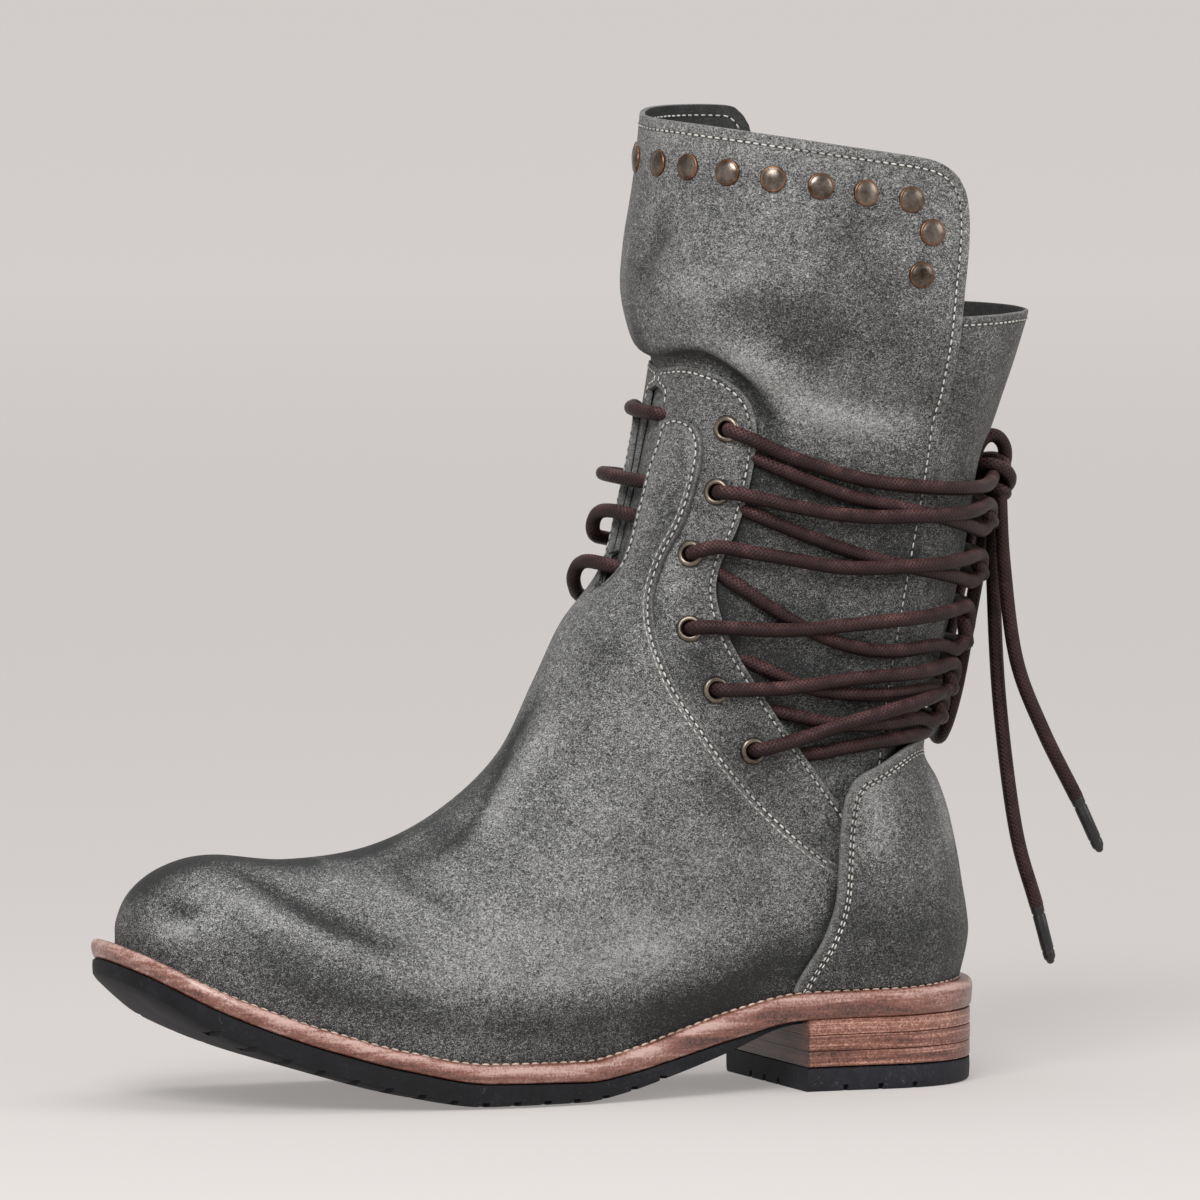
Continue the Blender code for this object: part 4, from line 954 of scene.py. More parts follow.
def buildCounter():
    top = onChart(counterChart, counterTop)
    top = top[:np.argmax(top[:, 0] > 0.999) + 1]
    top[-1, 0] = 1.0
    front = onChart(counterChart, counterFront)
    front[0, 1] = 0.0
    low = np.stack([np.linspace(front[0, 0], 1.0, 40), np.zeros(40)], axis=1)

    def overBack(line):
        mirror = line[::-1][1:] if abs(line[-1, 0] - 1) < 1e-6 else line[::-1]
        return np.concatenate([signed(line, -1), np.stack([mirror[:, 0] - 2, mirror[:, 1]], axis=1)])

    left, right = signed(front, -1), np.stack([front[:, 0] - 2, front[:, 1]], axis=1)
    piece, u, v = sheetGrid("counterPiece", counterSet["columns"], counterSet["rows"])
    around, row = fillPanel(upperTable, overBack(low), overBack(top), left, right, u, v)
    spots, out = onSkin(upperTable, around, row, outBy["counter"])
    depth, paintedShadingAndWear = shapeFolds(counterChart, spots, counterFolds)
    # darker just above the welt
    darkAboveWelt = np.exp(-np.abs(spots[:, 2] - featherZ(spots[:, 0])) / counterSet["darkAboveWeltReach"])
    paintedShadingAndWear -= counterSet["darkAboveWelt"] * darkAboveWelt
    depth += counterSet["waves"] * slowWaves(spots, counterSet["waveSize"], 8)
    spots = spots + out * depth[:, None]
    ends = np.concatenate([left, overBack(top)[1:], right[::-1][1:]])
    rim = onSkin(upperTable, ends[:, 0], ends[:, 1], outBy["counter"])[0]
    dressSheet(piece, spots, out, (rim,), paintedShadingAndWear, napCounter)
    thicken(piece, wall["counter"], counterSet["edge"])
    finishPiece(piece, "upper_leather", "counter")
    return ends


counterSeam = buildCounter()
print("counter set")

shaftSet = dict(columns=210, rows=150, waves=0.55, waveSize=52.0, looseFrom=(205, 230), looseTo=(272, 292),
                foldFrom=(188, 204), laceShade=0.42, shadeTo=(186, 206), frontTop=295.4, edge=0.55)
# painted shadow in the valley under the cuff's overhanging fold and beside the facing's edge, painted
# highlight on the fold's roll, painted shade between the lace runs and in the creases
shaftFolds = (
    ("both", 3.1, -2.8, -1.5, ((38, 221), (42, 223), (46, 222.5), (50, 220.5), (54, 217.5), (58, 213),
                               (61, 209), (63.4, 204.5), (66, 198))),
    ("both", 6.5, 2.3, 0.7, ((44, 231), (50, 227.5), (57, 222.5), (65, 215), (75, 208.5), (88, 204),
                             (101, 202))),
    ("lateral", 7, 0, -0.8, ((62, 232), (70, 227.5), (80, 222))),
    ("lateral", 6, 0, -1.1, ((31.5, 233), (32.5, 226), (35.5, 221))),
    ("lateral", 5, 0, -0.45, ((31, 283), (28, 264), (28, 246), (30, 232))),
    ("lateral", 6, 0, 0.35, ((32, 291), (46, 290), (62, 288), (78, 285.5))),
    ("lateral", 9, 0, -0.3, ((80, 270), (98, 266), (112, 261))),
    ("lateral", 6.5, 0, 0.5, ((88, 204), (97, 202), (105, 204), (112, 204))),
    ("lateral", 6, 0, -0.4, ((97, 233), (101, 226), (101, 219))),
    ("lateral", 7.5, -2.0, -0.55, ((42.5, 238), (51.5, 239.4), (62.5, 238.3), (74.4, 235), (84.3, 229.5),
                                   (95, 226))),
    ("lateral", 4.5, -1.3, -0.5, ((37.2, 264.5), (35.2, 259), (33.5, 252), (32.3, 243.4))),
    ("lateral", 8.5, -1.4, -0.45, ((86, 268), (84, 260), (90, 250.6), (97, 241), (92, 230))),
    ("lateral", 5, -1.8, -0.2, ((76, 199), (86, 197.5), (95, 195), (105, 192))),
    ("lateral", 7, 0.9, -0.05, ((41, 259), (52, 259), (65, 257))),
    ("lateral", 6, 0.7, 0.5, ((35.6, 247), (42, 244.5), (52, 247), (63, 246))),
    ("lateral", 6, -0.8, -0.3, ((110, 240), (113, 215), (112, 195))),
    ("both", 6.5, 0, -1.3, ((58.7, 203), (58.5, 196), (57.4, 189), (53.5, 173.2), (48.6, 162), (47, 151),
                            (49, 140), (54, 129), (62, 116), (73, 102))),
    ("lateral", 5, 0, -0.7, ((60, 193), (72, 185), (86, 181))),
    ("lateral", 5, 0, -0.5, ((62, 150), (72, 147), (84, 149))),
    ("lateral", 5.5, 0, -0.8, ((62, 134), (76, 129), (92, 130))),
    ("lateral", 6, 0, -0.8, ((74, 116), (88, 113), (104, 115))),
    ("lateral", 7, 0, -0.6, ((96, 168), (106, 163), (116, 165))),
    ("medial", 8, -2.0, -0.5, ((44, 240), (58, 243), (72, 238), (86, 228))),
    ("medial", 6, -1.2, -0.3, ((50, 280), (58, 262), (56, 246))),
    ("medial", 5, -1.6, -0.4, ((78, 200), (90, 196), (102, 190))),
)


def buildShaft():
    collarL, collarM = onChart(shaftChart, collarLateral), onChart(shaftChart, collarMedial)
    flapL, flapM = onChart(shaftChart, flapLateral), onChart(shaftChart, flapMedial)
    frontRow = heightRow(shaftChart, 0.0, shaftSet["frontTop"])
    collarL[0], collarM[0] = (0.0, frontRow), (0.0, frontRow)
    high = np.concatenate([signed(collarL, -1)[::-1], collarM[1:]])
    left, right = signed(flapL, -1), flapM
    low = np.linspace(left[0], right[0], 40)
    piece, u, v = sheetGrid("shaftPiece", shaftSet["columns"], shaftSet["rows"])
    around, row = fillPanel(shaftTable, low, high, left, right, u, v)
    spots, out = onSkin(shaftTable, around, row)
    depth, paintedShadingAndWear = shapeFolds(shaftChart, spots, shaftFolds)
    z = spots[:, 2]
    loose = ease(z, *shaftSet["looseFrom"]) * (1 - ease(z, *shaftSet["looseTo"]))
    waves = shaftSet["waves"] * slowWaves(spots, shaftSet["waveSize"], 11) * loose
    depth = depth * ease(z, *shaftSet["foldFrom"]) + waves
    # painted shade on the leg where the laces cover it, fading out above the top runs
    paintedShadingAndWear -= shaftSet["laceShade"] * (1 - ease(z, *shaftSet["shadeTo"]))
    spots = spots + out * depth[:, None]
    ends = np.concatenate([left, high[1:], right[::-1][1:]])
    rim = onSkin(shaftTable, ends[:, 0], ends[:, 1])[0]
    dressSheet(piece, spots, out, (rim,), paintedShadingAndWear, napShaft)
    thicken(piece, wall["shaft"], shaftSet["edge"])
    finishPiece(piece, "shaft_leather", "shaft")
    return ends


shaftSeam = buildShaft()
print("shaft wrapped")

gussetSet = dict(columns=110, rows=100, waves=0.5, waveSize=40.0, free=(0.72, 0.86), foot=88.0, edge=0.5)
# creases of the back panel, with painted shade in them
gussetFolds = (
    ("both", 7, -0.8, -0.4, ((140, 232), (143, 210), (139, 190))),
    ("both", 6, -0.9, -0.3, ((128, 225), (130, 200), (126, 170))),
)


def buildGusset():
    def levelLine(z):
        start, end = (spotAt(gussetChart, gussetFrontX[side], z)[0] for side in ("lateral", "medial"))
        around = np.linspace(-start, end - 2, 60)
        return np.stack([around, [heightRow(gussetChart, a, z) for a in around]], axis=1)

    high = levelLine(gussetTopZ)
    low = levelLine(gussetSet["foot"])
    left, right = np.linspace(low[0], high[0], 30), np.linspace(low[-1], high[-1], 30)
    piece, u, v = sheetGrid("gussetPiece", gussetSet["columns"], gussetSet["rows"])
    around, row = fillPanel(shaftTable, low, high, left, right, u, v)
    spots, out = onSkin(shaftTable, around, row, outBy["gusset"])
    depth, paintedShadingAndWear = shapeFolds(gussetChart, spots, gussetFolds)
    free = ease(np.abs((around + 1) % 2 - 1), *gussetSet["free"])
    depth = (depth + gussetSet["waves"] * slowWaves(spots, gussetSet["waveSize"], 17)) * free
    spots = spots + out * depth[:, None]
    rim = onSkin(shaftTable, high[:, 0], high[:, 1], outBy["gusset"])[0]
    dressSheet(piece, spots, out, (rim,), paintedShadingAndWear, napGusset)
    thicken(piece, wall["gusset"], gussetSet["edge"])
    finishPiece(piece, "shaft_leather", "gusset")
    return high


gussetSeam = buildGusset()
print("gusset set")

# sole layers: rows of (distance inside the welt's edge, line of the height, how far above it), top first
soleSet = dict(stations=140, across=10, waist=(42, 74), waistIn=5.0, waistUp=1.4, topLift=7.2,
               heelEdges=(0.8, 0.7, 0.75))
lugSet = dict(first=-114.0, last=34.0, pitch=10.0, size=(2.4, 30.0, 4.0), beyond=6)
notchSet = dict(sideX=(88.0, 99.5, 110.8), side=(1.7, 6.0, 4.0), beyond=3.6, breastY=(-11.0, 0.6, 12.3),
                breast=(6.0, 2.0, 4.0))


def outlinePoints(margin):
    n = soleSet["stations"]
    around = np.concatenate([-np.arange(n + 1) / n, 1 - np.arange(1, n) / n])
    line = skinPoint(upperTable, around, np.zeros(2 * n))[:, :2]
    along = np.roll(line, -1, axis=0) - np.roll(line, 1, axis=0)
    out = unit(np.stack([along[:, 1], -along[:, 0]], axis=1))
    if out[n // 2, 1] > 0:
        out = -out
    return line + out * np.reshape(np.broadcast_to(margin(line[:, 0]), 2 * n), (-1, 1))


def weltLess(less):
    return lambda x: byKey(soleTable, "x", "margin", x) - less


def raised(base, by):
    return lambda x: base(x) + by


def slabPiece(name, margin, rows, keep=None):
    n, across = soleSet["stations"], soleSet["across"]
    heights = [raised(base, by) for _, base, by in rows]
    lateral, medial = [], []
    for row, height in zip(rows, heights):
        line = outlinePoints(margin(row[0]))
        ring = np.column_stack([line, height(line[:, 0])])
        lateral.append(ring[:n + 1])
        medial.append(ring[(2 * n - np.arange(n + 1)) % (2 * n)])

    def acrossFrom(one, two, height):
        found = []
        for k in range(1, across):
            mid = one + (two - one) * k / across
            mid[:, 2] = height(mid[:, 0])
            found.append(mid)
        return found

    ring = lateral + acrossFrom(lateral[-1], medial[-1], heights[-1])
    ring += medial[::-1] + acrossFrom(medial[0], lateral[0], heights[0])
    ring = np.array(ring)
    piece, u, v = sheetGrid(name, len(ring), n)
    place = np.round(u * len(ring)).astype(int) % len(ring)
    moveTo(piece, ring[place, np.round(v * n).astype(int)])
    rise = np.linspace(1, 0, len(rows)).tolist()
    rise = np.array(rise + [0.0] * (across - 1) + rise[::-1] + [1.0] * (across - 1))
    setNumbers(piece, "bead", rise[place])
    weld(piece)
    turnOutward(piece)
    if keep:
        bpy.ops.object.mode_set(mode="EDIT")
        bpy.ops.mesh.select_all(action="SELECT")
        bpy.ops.mesh.bisect(plane_co=metres((keep[1], 0, 0)), plane_no=(1, 0, 0), use_fill=True,
                            clear_inner=keep[0] == "behind", clear_outer=keep[0] == "front")
        bpy.ops.object.mode_set(mode="OBJECT")
    return piece


def smoothByAngle(piece, angle):
    selectOnly(piece)
    bpy.ops.object.shade_smooth_by_angle(angle=math.radians(angle))


# welt's tone by height: a painted highlight across its upper part standing for the waxed welt's sheen, with
# pale wear, and darker below
beadProfile = ((0.0, 0.3), (0.13, 0.5), (0.24, 0.22), (0.4, 0.42), (0.58, 0.9), (0.7, 0.78), (0.8, 0.35),
               (1.0, 0.4))


# scuffed and waxed leather, streaks running along the boot
def scuffedLeather(name, dark, middle, pale, streak, rough, coat, bead=0.0, breast=0.0, spread=0.1,
                   soft=0.0002):
    made, tree, shader = newMaterial(name)
    where = objectPlace(tree)
    streaks = noiseAt(tree, stretched(tree, where, streak), 1.0, 5.0, 0.62, 0.7)
    patches = noiseAt(tree, where, 60.0, 4.0, 0.6, 0.8)
    grain = noiseAt(tree, where, 1250.0, 2.0, 0.65, 1.0)
    tone = weighed(tree, (streaks, 0.5), (patches, 0.15), (grain, 0.35))
    # painted highlight and pale wear across the welt's height
    profile = ramp(tree, ownNumber(tree, "bead"), [(place, (v, v, v)) for place, v in beadProfile])
    tone = plusShare(tree, tone, minus(tree, profile), bead)
    # tone moved by breast ahead of the breast line: the heel's breast face darkened as painted shadow, the
    # welt lighter ahead of the heel
    x = put(tree, "ShaderNodeSeparateXYZ", {0: where}).outputs[0]
    breastAt = (breastX - centreX + 0.5) * 0.001
    front = calc(tree, "DIVIDE", calc(tree, "SUBTRACT", breastAt, x), soft, True)
    tone = plusShare(tree, tone, front, -breast)
    colour = ramp(tree, tone, ((0.49 - spread, dark), (0.49, middle), (0.51, middle), (0.52 + spread, pale)))
    feed(tree, shader, {"Base Color": colour, "Roughness": plusShare(tree, rough, patches, 0.25),
                        "Normal": bumpFrom(tree, tone, 0.4, 0.0004), "Coat Weight": coat,
                        "Coat Roughness": 0.35})
    return made


def blackRubber(name, tone):
    made, tree, shader = newMaterial(name)
    where = objectPlace(tree)
    dust = noiseAt(tree, where, 60.0, 5.0, 0.65, 0.5)
    grain = noiseAt(tree, where, 900.0, 2.0, 0.6)
    both = weighed(tree, (dust, 0.7), (grain, 0.3))
    colour = ramp(tree, both, ((0.38, (tone * 0.5, tone * 0.5, tone * 0.62)),
                               (0.55, (tone, tone, tone * 1.35)),
                               (0.72, (tone * 3.2, tone * 3.1, tone * 3.9))))
    scuffs = ramp(tree, noiseAt(tree, where, 480.0, 3.0, 0.7, 1.2), ((0.64, (0, 0, 0)), (0.74, (1, 1, 1))))
    colour = mixed(tree, scuffs, colour, (tone * 7, tone * 7, tone * 8.2))
    feed(tree, shader, {"Base Color": colour, "Roughness": plusShare(tree, 0.55, dust, 0.3),
                        "Specular IOR Level": 0.3, "Normal": bumpFrom(tree, both, 0.3, 0.0003)})
    return made


weltLeather = scuffedLeather("scuffedWelt", dark=(0.05, 0.021, 0.017), middle=(0.225, 0.085, 0.06),
                             pale=(0.52, 0.335, 0.29), streak=(26.0, 120.0, 420.0), rough=0.28, coat=0.5,
                             bead=0.2, breast=-0.02, spread=0.11, soft=0.03)
# breast darkens the heel's breast face: painted shadow
heelLeather = scuffedLeather("stackedHeel", dark=(0.04, 0.014, 0.009), middle=(0.20, 0.072, 0.047),
                             pale=(0.55, 0.30, 0.225), streak=(14.0, 14.0, 900.0), rough=0.34, coat=0.3,
                             breast=0.08, spread=0.09)
footbedLeather = scuffedLeather("footbedLeather", dark=(0.10, 0.075, 0.05), middle=(0.24, 0.17, 0.11),
                                pale=(0.34, 0.26, 0.18), streak=(60.0, 60.0, 60.0), rough=0.6, coat=0.0)
treadRubber = blackRubber("treadRubber", 0.0068)
liftRubber = blackRubber("liftRubber", 0.018)


# a spot on the sole's edge, and square notches cut out of a slab
def sideSpot(x, side, beyond):
    at = np.array([x])
    edge = halfWidth(at, featherZ(at), np.array([side])) + beyond
    return x, float(middleY(at, np.array([20.0]))[0] + side * edge[0])


def cutNotches(piece, boxes):
    cuts = []
    for (x, y), z, size in boxes:
        bpy.ops.object.select_all(action="DESELECT")
        bpy.ops.mesh.primitive_cube_add(size=1.0, location=metres((x, y, z)))
        bpy.context.object.scale = [k * 0.001 for k in size]
        bpy.ops.object.transform_apply(location=True, rotation=True, scale=True)
        cuts.append(bpy.context.object)
    cutAway(piece, cuts)


def finishSlab(piece, skin, angle, slot, node):
    paint(piece, skin)
    smoothByAngle(piece, angle)
    finishPiece(piece, slot, node)


def bandTop(x):
    return featherZ(x) - gap


def bandMiddle(x):
    return (bandTop(x) + rubberTop(x)) / 2


def buildWelt():
    rows = ((4.0, bandTop, 0.0), (1.9, bandTop, 0.0), (1.2, bandTop, -0.25), (0.55, bandTop, -0.8),
            (0.15, bandTop, -1.7), (0.0, bandTop, -3.0), (0.1, bandMiddle, -0.8), (0.35, rubberTop, 1.2),
            (0.8, rubberTop, 0.45), (1.3, rubberTop, 0.05))
    finishSlab(slabPiece("weltBand", weltLess, rows), weltLeather, 50, "welt_leather", "welt")


def soleTop(x):
    return rubberTop(x) - gap


# underside of the forepart, raised towards the heel; share of the edge's own lift
def treadLine(share):
    def line(x):
        up = soleSet["waistUp"] * ease(x, *soleSet["waist"])
        return rubberBottom(x) + up + share * byKey(soleTable, "x", "edgeLift", x)

    return line


def soleMiddle(x):
    return (rubberTop(x) + treadLine(1.0)(x)) / 2


def waisted(inside):
    return lambda x: weltLess(inside)(x) - soleSet["waistIn"] * ease(x, *soleSet["waist"])


def buildOutsole():
    rows = ((2.5, soleTop, 0.0), (0.9, soleTop, 0.0), (0.45, soleTop, -0.5), (0.35, soleMiddle, 0.0),
            (0.5, treadLine(1.15), 0.0), (1.2, treadLine(0.8), 0.0), (5.0, treadLine(0.25), 0.0),
            (12.0, treadLine(0.0), 0.0))
    outsole = slabPiece("treadSole", waisted, rows, ("front", breastX - gap))
    boxes = []
    for x in np.arange(lugSet["first"], lugSet["last"], lugSet["pitch"]):
        bottom = float(rubberBottom(np.array([x]))[0])
        boxes += [(sideSpot(x, side, lugSet["beyond"]), bottom, lugSet["size"]) for side in (-1, 1)]
    cutNotches(outsole, boxes)
    finishSlab(outsole, treadRubber, 35, "sole_rubber", "outsole")


def buildHeel():
    low = soleSet["topLift"]
    rows = ((1.6, np.zeros_like, low), (0.9, np.zeros_like, low - 0.3), (0.8, np.zeros_like, 4.0),
            (1.0, np.zeros_like, 0.9), (1.5, np.zeros_like, 0.25), (2.2, np.zeros_like, 0.0))
    topLift = slabPiece("topLift", weltLess, rows, ("behind", breastX))
    boxes = [(sideSpot(x, side, notchSet["beyond"]), 0.0, notchSet["side"])
             for x in notchSet["sideX"] for side in (-1, 1)]
    boxes += [((breastX, y), 0.0, notchSet["breast"]) for y in notchSet["breastY"]]
    cutNotches(topLift, boxes)
    finishSlab(topLift, liftRubber, 50, "sole_rubber", "heel_top_lift")

    def level(share):
        return lambda x: low + gap + (rubberTop(x) - low - gap) * share

    for k, edge in enumerate(soleSet["heelEdges"]):
        rows = ((edge + 0.5, level((k + 1) / 3), -0.08), (edge + 0.1, level((k + 1) / 3), -0.22),
                (edge, level((k + 0.85) / 3), 0.0), (edge, level((k + 0.15) / 3), 0.0),
                (edge + 0.1, level(k / 3), 0.14), (edge + 0.5, level(k / 3), 0.02))
        lift = slabPiece(f"heelLift_{k + 1}", weltLess, rows, ("behind", breastX))
        finishSlab(lift, heelLeather, 50, "heel_leather", f"heel_lift_{k + 1}")


def insideWall(inside):
    return lambda x: np.full_like(x, -wall["upper"] - inside)


def buildInsole():
    rows = ((5.0, featherZ, 2.9), (2.9, featherZ, 2.8), (2.2, featherZ, 2.2), (1.9, featherZ, 0.6),
            (2.1, featherZ, 0.1))
    finishSlab(slabPiece("insolePiece", insideWall, rows), footbedLeather, 50, "footbed", "insole")


buildWelt()
buildOutsole()
buildHeel()
buildInsole()
print("sole stacked")

# lace runs over the leg: share of the turn, height; the outer side's turns are taken negative
laceSet = dict(radius=2.2, lift=2.45, overFacing=4.75, sides=14, tipSides=18, freeFrom=8.0, freeBehind=0.03,
               hang=1.5, through=2.2, weaveAround=8, weaveAlong=0.13, uvPer=10.0)
backRuns = (
    dict(outer=((0.285, 182.5), (0.49, 176.1), (0.63, 175.4), (0.76, 176.0)), lift=2.6, eyelet=1,
         inner=((0.78, 171.0), (0.60, 177.5), (0.48, 182.0), (0.34, 190.5))),
    dict(outer=((0.27, 166.5), (0.39, 163.5), (0.52, 160.0), (0.70, 160.5)), lift=2.6, eyelet=2,
         inner=((0.77, 155.5), (0.58, 161.5), (0.44, 169.0), (0.34, 175.0))),
    dict(outer=((0.33, 142.0), (0.45, 141.5), (0.55, 142.6), (0.72, 145.0)), lift=2.6, eyelet=3,
         inner=((0.76, 135.0), (0.62, 134.0), (0.49, 140.4), (0.36, 151.5))),
    dict(outer=((0.42, 123.5), (0.50, 123.8), (0.60, 126.0), (0.74, 128.0)), lift=2.6, eyelet=4,
         inner=((0.80, 121.5), (0.65, 120.5), (0.54, 123.0), (0.475, 127.5))),
    dict(outer=((0.51, 106.3), (0.56, 109.0), (0.64, 114.2), (0.74, 119.0)), lift=4.6, eyelet=5,
         inner=((0.80, 112.5), (0.68, 111.5), (0.60, 112.0), (0.55, 114.0))),
)
baseRun = ((0.635, 104.8), (0.70, 106.2), (0.80, 107.5))
topRun = ((0.275, 199.5), (0.38, 192.9), (0.52, 186.3), (0.67, 183.3), (0.80, 182.6), (0.90, 183.2))
# short runs across the throat: share of the turn, height, lift
frontRuns = (
    ((-0.06, 205.0, 0.5), (-0.025, 205.0, 2.7), (0.015, 205.0, 4.4), (0.05, 205.0, 5.4), (0.10, 205.0, 5.4),
     (0.165, 205.0, 4.8)),
    ((-0.06, 184.5, 0.5), (-0.025, 184.5, 2.7), (0.015, 184.4, 5.1), (0.05, 184.3, 8.2), (0.09, 184.2, 10.0),
     (0.125, 184.1, 9.5), (0.175, 184.0, 6.0)),
    ((-0.06, 173.5, 0.5), (-0.025, 174.0, 2.7), (0.02, 174.2, 5.4), (0.06, 173.2, 8.4), (0.085, 170.5, 9.6),
     (0.095, 167.2, 9.4), (0.11, 165.2, 8.0), (0.155, 164.8, 5.0)),
    ((-0.06, 158.0, 0.5), (-0.025, 158.0, 2.7), (0.02, 157.5, 5.6), (0.06, 156.4, 8.6), (0.09, 153.5, 10.0),
     (0.105, 150.0, 9.6), (0.13, 147.5, 8.0), (0.20, 144.0, 6.0)))
# where a strand dives under the facing: distance behind the facing's edge, lift
tuckStops = ((7.0, 2.0), (2.5, 0.6), (-0.5, -0.45), (-5.0, -1.9))
# turn behind the leg by side: share of the turn, run it is measured from, height above that, lift
hookStops = {
    -1: ((0.84, "high", 1.4, 3.6), (0.885, "middle", 2.4, 4.2), (0.89, "middle", -1.0, 4.4),
         (0.85, "low", -1.8, 3.6)),
    1: ((0.92, "high", 0.8, 2.4), (1.04, "high", 0.6, 2.4), (1.10, "high", -0.5, 2.4),
        (1.13, "middle", 0.0, 3.4), (1.10, "low", 0.5, 5.2), (1.04, "low", -0.6, 4.6),
        (0.92, "low", -0.8, 2.6))}
baseSet = dict(edgeX=74.5, edgeZ=103.0, startZ=102.6, rise=0.12, back=(1.0, 108.5))
topEnd = ((147.0, 7.5, 183.6), (148.4, 3.0, 184.2))
laceLoop = ((150.4, 6.2, 177.1), (147.8, 5.0, 158.0), (142.6, 3.5, 134.0), (139.4, 3.0, 119.0),
            (136.6, 4.5, 107.5), (136.2, 10.5, 102.8), (137.0, 16.5, 107.5), (139.6, 18.5, 120.0),
            (143.0, 17.5, 136.0), (147.0, 14.5, 158.0), (150.6, 11.2, 179.7))
laceEnds = (
    ((150.2, 1.2, 177.1), (149.6, -1.0, 158.0), (150.9, -3.0, 117.0), (155.2, -6.0, 76.0),
     (161.4, -8.0, 52.0)),
    ((150.8, -4.0, 178.2), (150.4, -8.0, 158.0), (154.2, -9.0, 128.0), (162.6, -10.0, 106.0),
     (173.3, -11.0, 85.0)))
agletTips = ((167.0, -8.0, 31.5), (181.4, -11.0, 68.0))
# lace tip: distance along it, radius
agletRings = ((0.0, 1.95), (0.5, 2.3), (1.0, 2.35), (2.6, 2.3), (3.0, 2.02), (3.4, 2.0), (3.8, 2.25),
              (9.0, 2.2), (14.2, 2.2), (14.6, 1.98), (15.0, 1.98), (15.4, 2.15), (17.0, 2.05), (17.6, 1.8),
              (18.0, 1.45))
agletSet = dict(over=0.3, share=0.9)
knotStrands = (
    ((146.5, 1.0, 181.5), (144.2, -0.5, 187.0), (144.4, -1.0, 192.0), (147.2, -1.0, 195.6),
     (150.8, -0.6, 195.8), (153.8, 0.2, 192.6), (154.2, 1.0, 187.6), (152.0, 2.2, 183.0)),
    ((143.6, -2.5, 186.6), (147.0, -5.2, 187.4), (151.2, -5.2, 186.2), (154.4, -3.0, 183.2),
     (154.6, 0.8, 180.0), (151.6, 4.2, 178.4), (147.8, 4.8, 180.0), (145.4, 2.6, 183.4)),
    ((147.2, -3.0, 181.0), (150.6, -4.6, 179.2), (153.2, -2.0, 178.2), (152.4, 2.5, 178.8),
     (149.0, 8.6, 181.2), (146.6, 9.2, 184.6), (148.4, 6.0, 188.0), (151.6, 2.0, 188.6),
     (152.8, -2.4, 187.2)))


def smoothPath(points, passes=3, step=1.0):
    path = densify(smoothLine(points, 8), step)
    for _ in range(passes):
        path[1:-1] = 0.25 * path[:-2] + 0.5 * path[1:-1] + 0.25 * path[2:]
    return path


# a lace run over the leg, from stops of (around, height, lift)
def legPath(stops, count=90):
    at = np.linspace(0, len(stops) - 1, count)
    around, heights, lifts = (smoothThrough([stop[k] for stop in stops], at) for k in range(3))
    rows = [heightRow(shaftChart, a, z) for a, z in zip(around, heights)]
    return onSkin(shaftTable, around, rows, lifts)[0]


# the first stretch of a run comes up out of its eyelet
def fromEyelet(path, eyelet):
    spot, out = eyelet
    away = np.linalg.norm(path - spot, axis=1)
    first = int(np.argmax(away > laceSet["freeFrom"]))
    way = path[first] - spot
    way = unit(way - out * (way @ out))
    rise = ((-2.4, 0.0), (-0.2, 0.2), (1.6, 1.4), (2.6, 4.0))
    start = [spot + out * up + way * along for up, along in rise]
    return smoothPath(np.concatenate([start, path[first::4], path[-1:]]), 4)


def tubePiece(name, path, radius, sides=laceSet["sides"]):
    radius = np.broadcast_to(radius, len(path)).astype(float)
    way = unit(np.gradient(path, axis=0))
    side = np.zeros_like(way)
    side[0] = unit(np.cross(way[0], (0.0, 0.0, 1.0) if abs(way[0][2]) < 0.9 else (1.0, 0.0, 0.0)))
    for i in range(1, len(path)):
        side[i] = unit(side[i - 1] - way[i] * (side[i - 1] @ way[i]))
    up = np.cross(way, side)
    dome = (math.pi / 2, 1.05, 0.52)

    def capRow(end, sign, a):
        centre = path[end] + sign * way[end] * radius[end] * math.sin(a)
        return centre, side[end], up[end], radius[end] * math.cos(a)

    rows = [capRow(0, -1, a) for a in dome]
    rows += list(zip(path, side, up, radius))
    rows += [capRow(-1, 1, a) for a in dome[::-1]]
    piece, u, v = sheetGrid(name, sides, len(rows) - 1)
    at = np.round(v * (len(rows) - 1)).astype(int)
    centre, across, above, wide = (np.array([row[k] for row in rows])[at] for k in range(4))
    angle = 2 * np.pi * u
    out = np.cos(angle)[:, None] * across + np.sin(angle)[:, None] * above
    moveTo(piece, centre + wide[:, None] * out)
    # how far each point faces up; the braid uses it to paint its underside darker and its top paler, as
    # painted shade and painted highlight
    setNumbers(piece, "upward", out[:, 2] * 0.5 + 0.5)
    uv = np.empty(len(piece.data.loops) * 2)
    layer = piece.data.uv_layers[0]
    layer.data.foreach_get("uv", uv)
    uv[1::2] *= lengthAlong(path)[-1] / laceSet["uvPer"]
    layer.data.foreach_set("uv", uv)
    weld(piece, 0.000004)
    turnOutward(piece)
    bpy.ops.object.shade_smooth()
    return piece


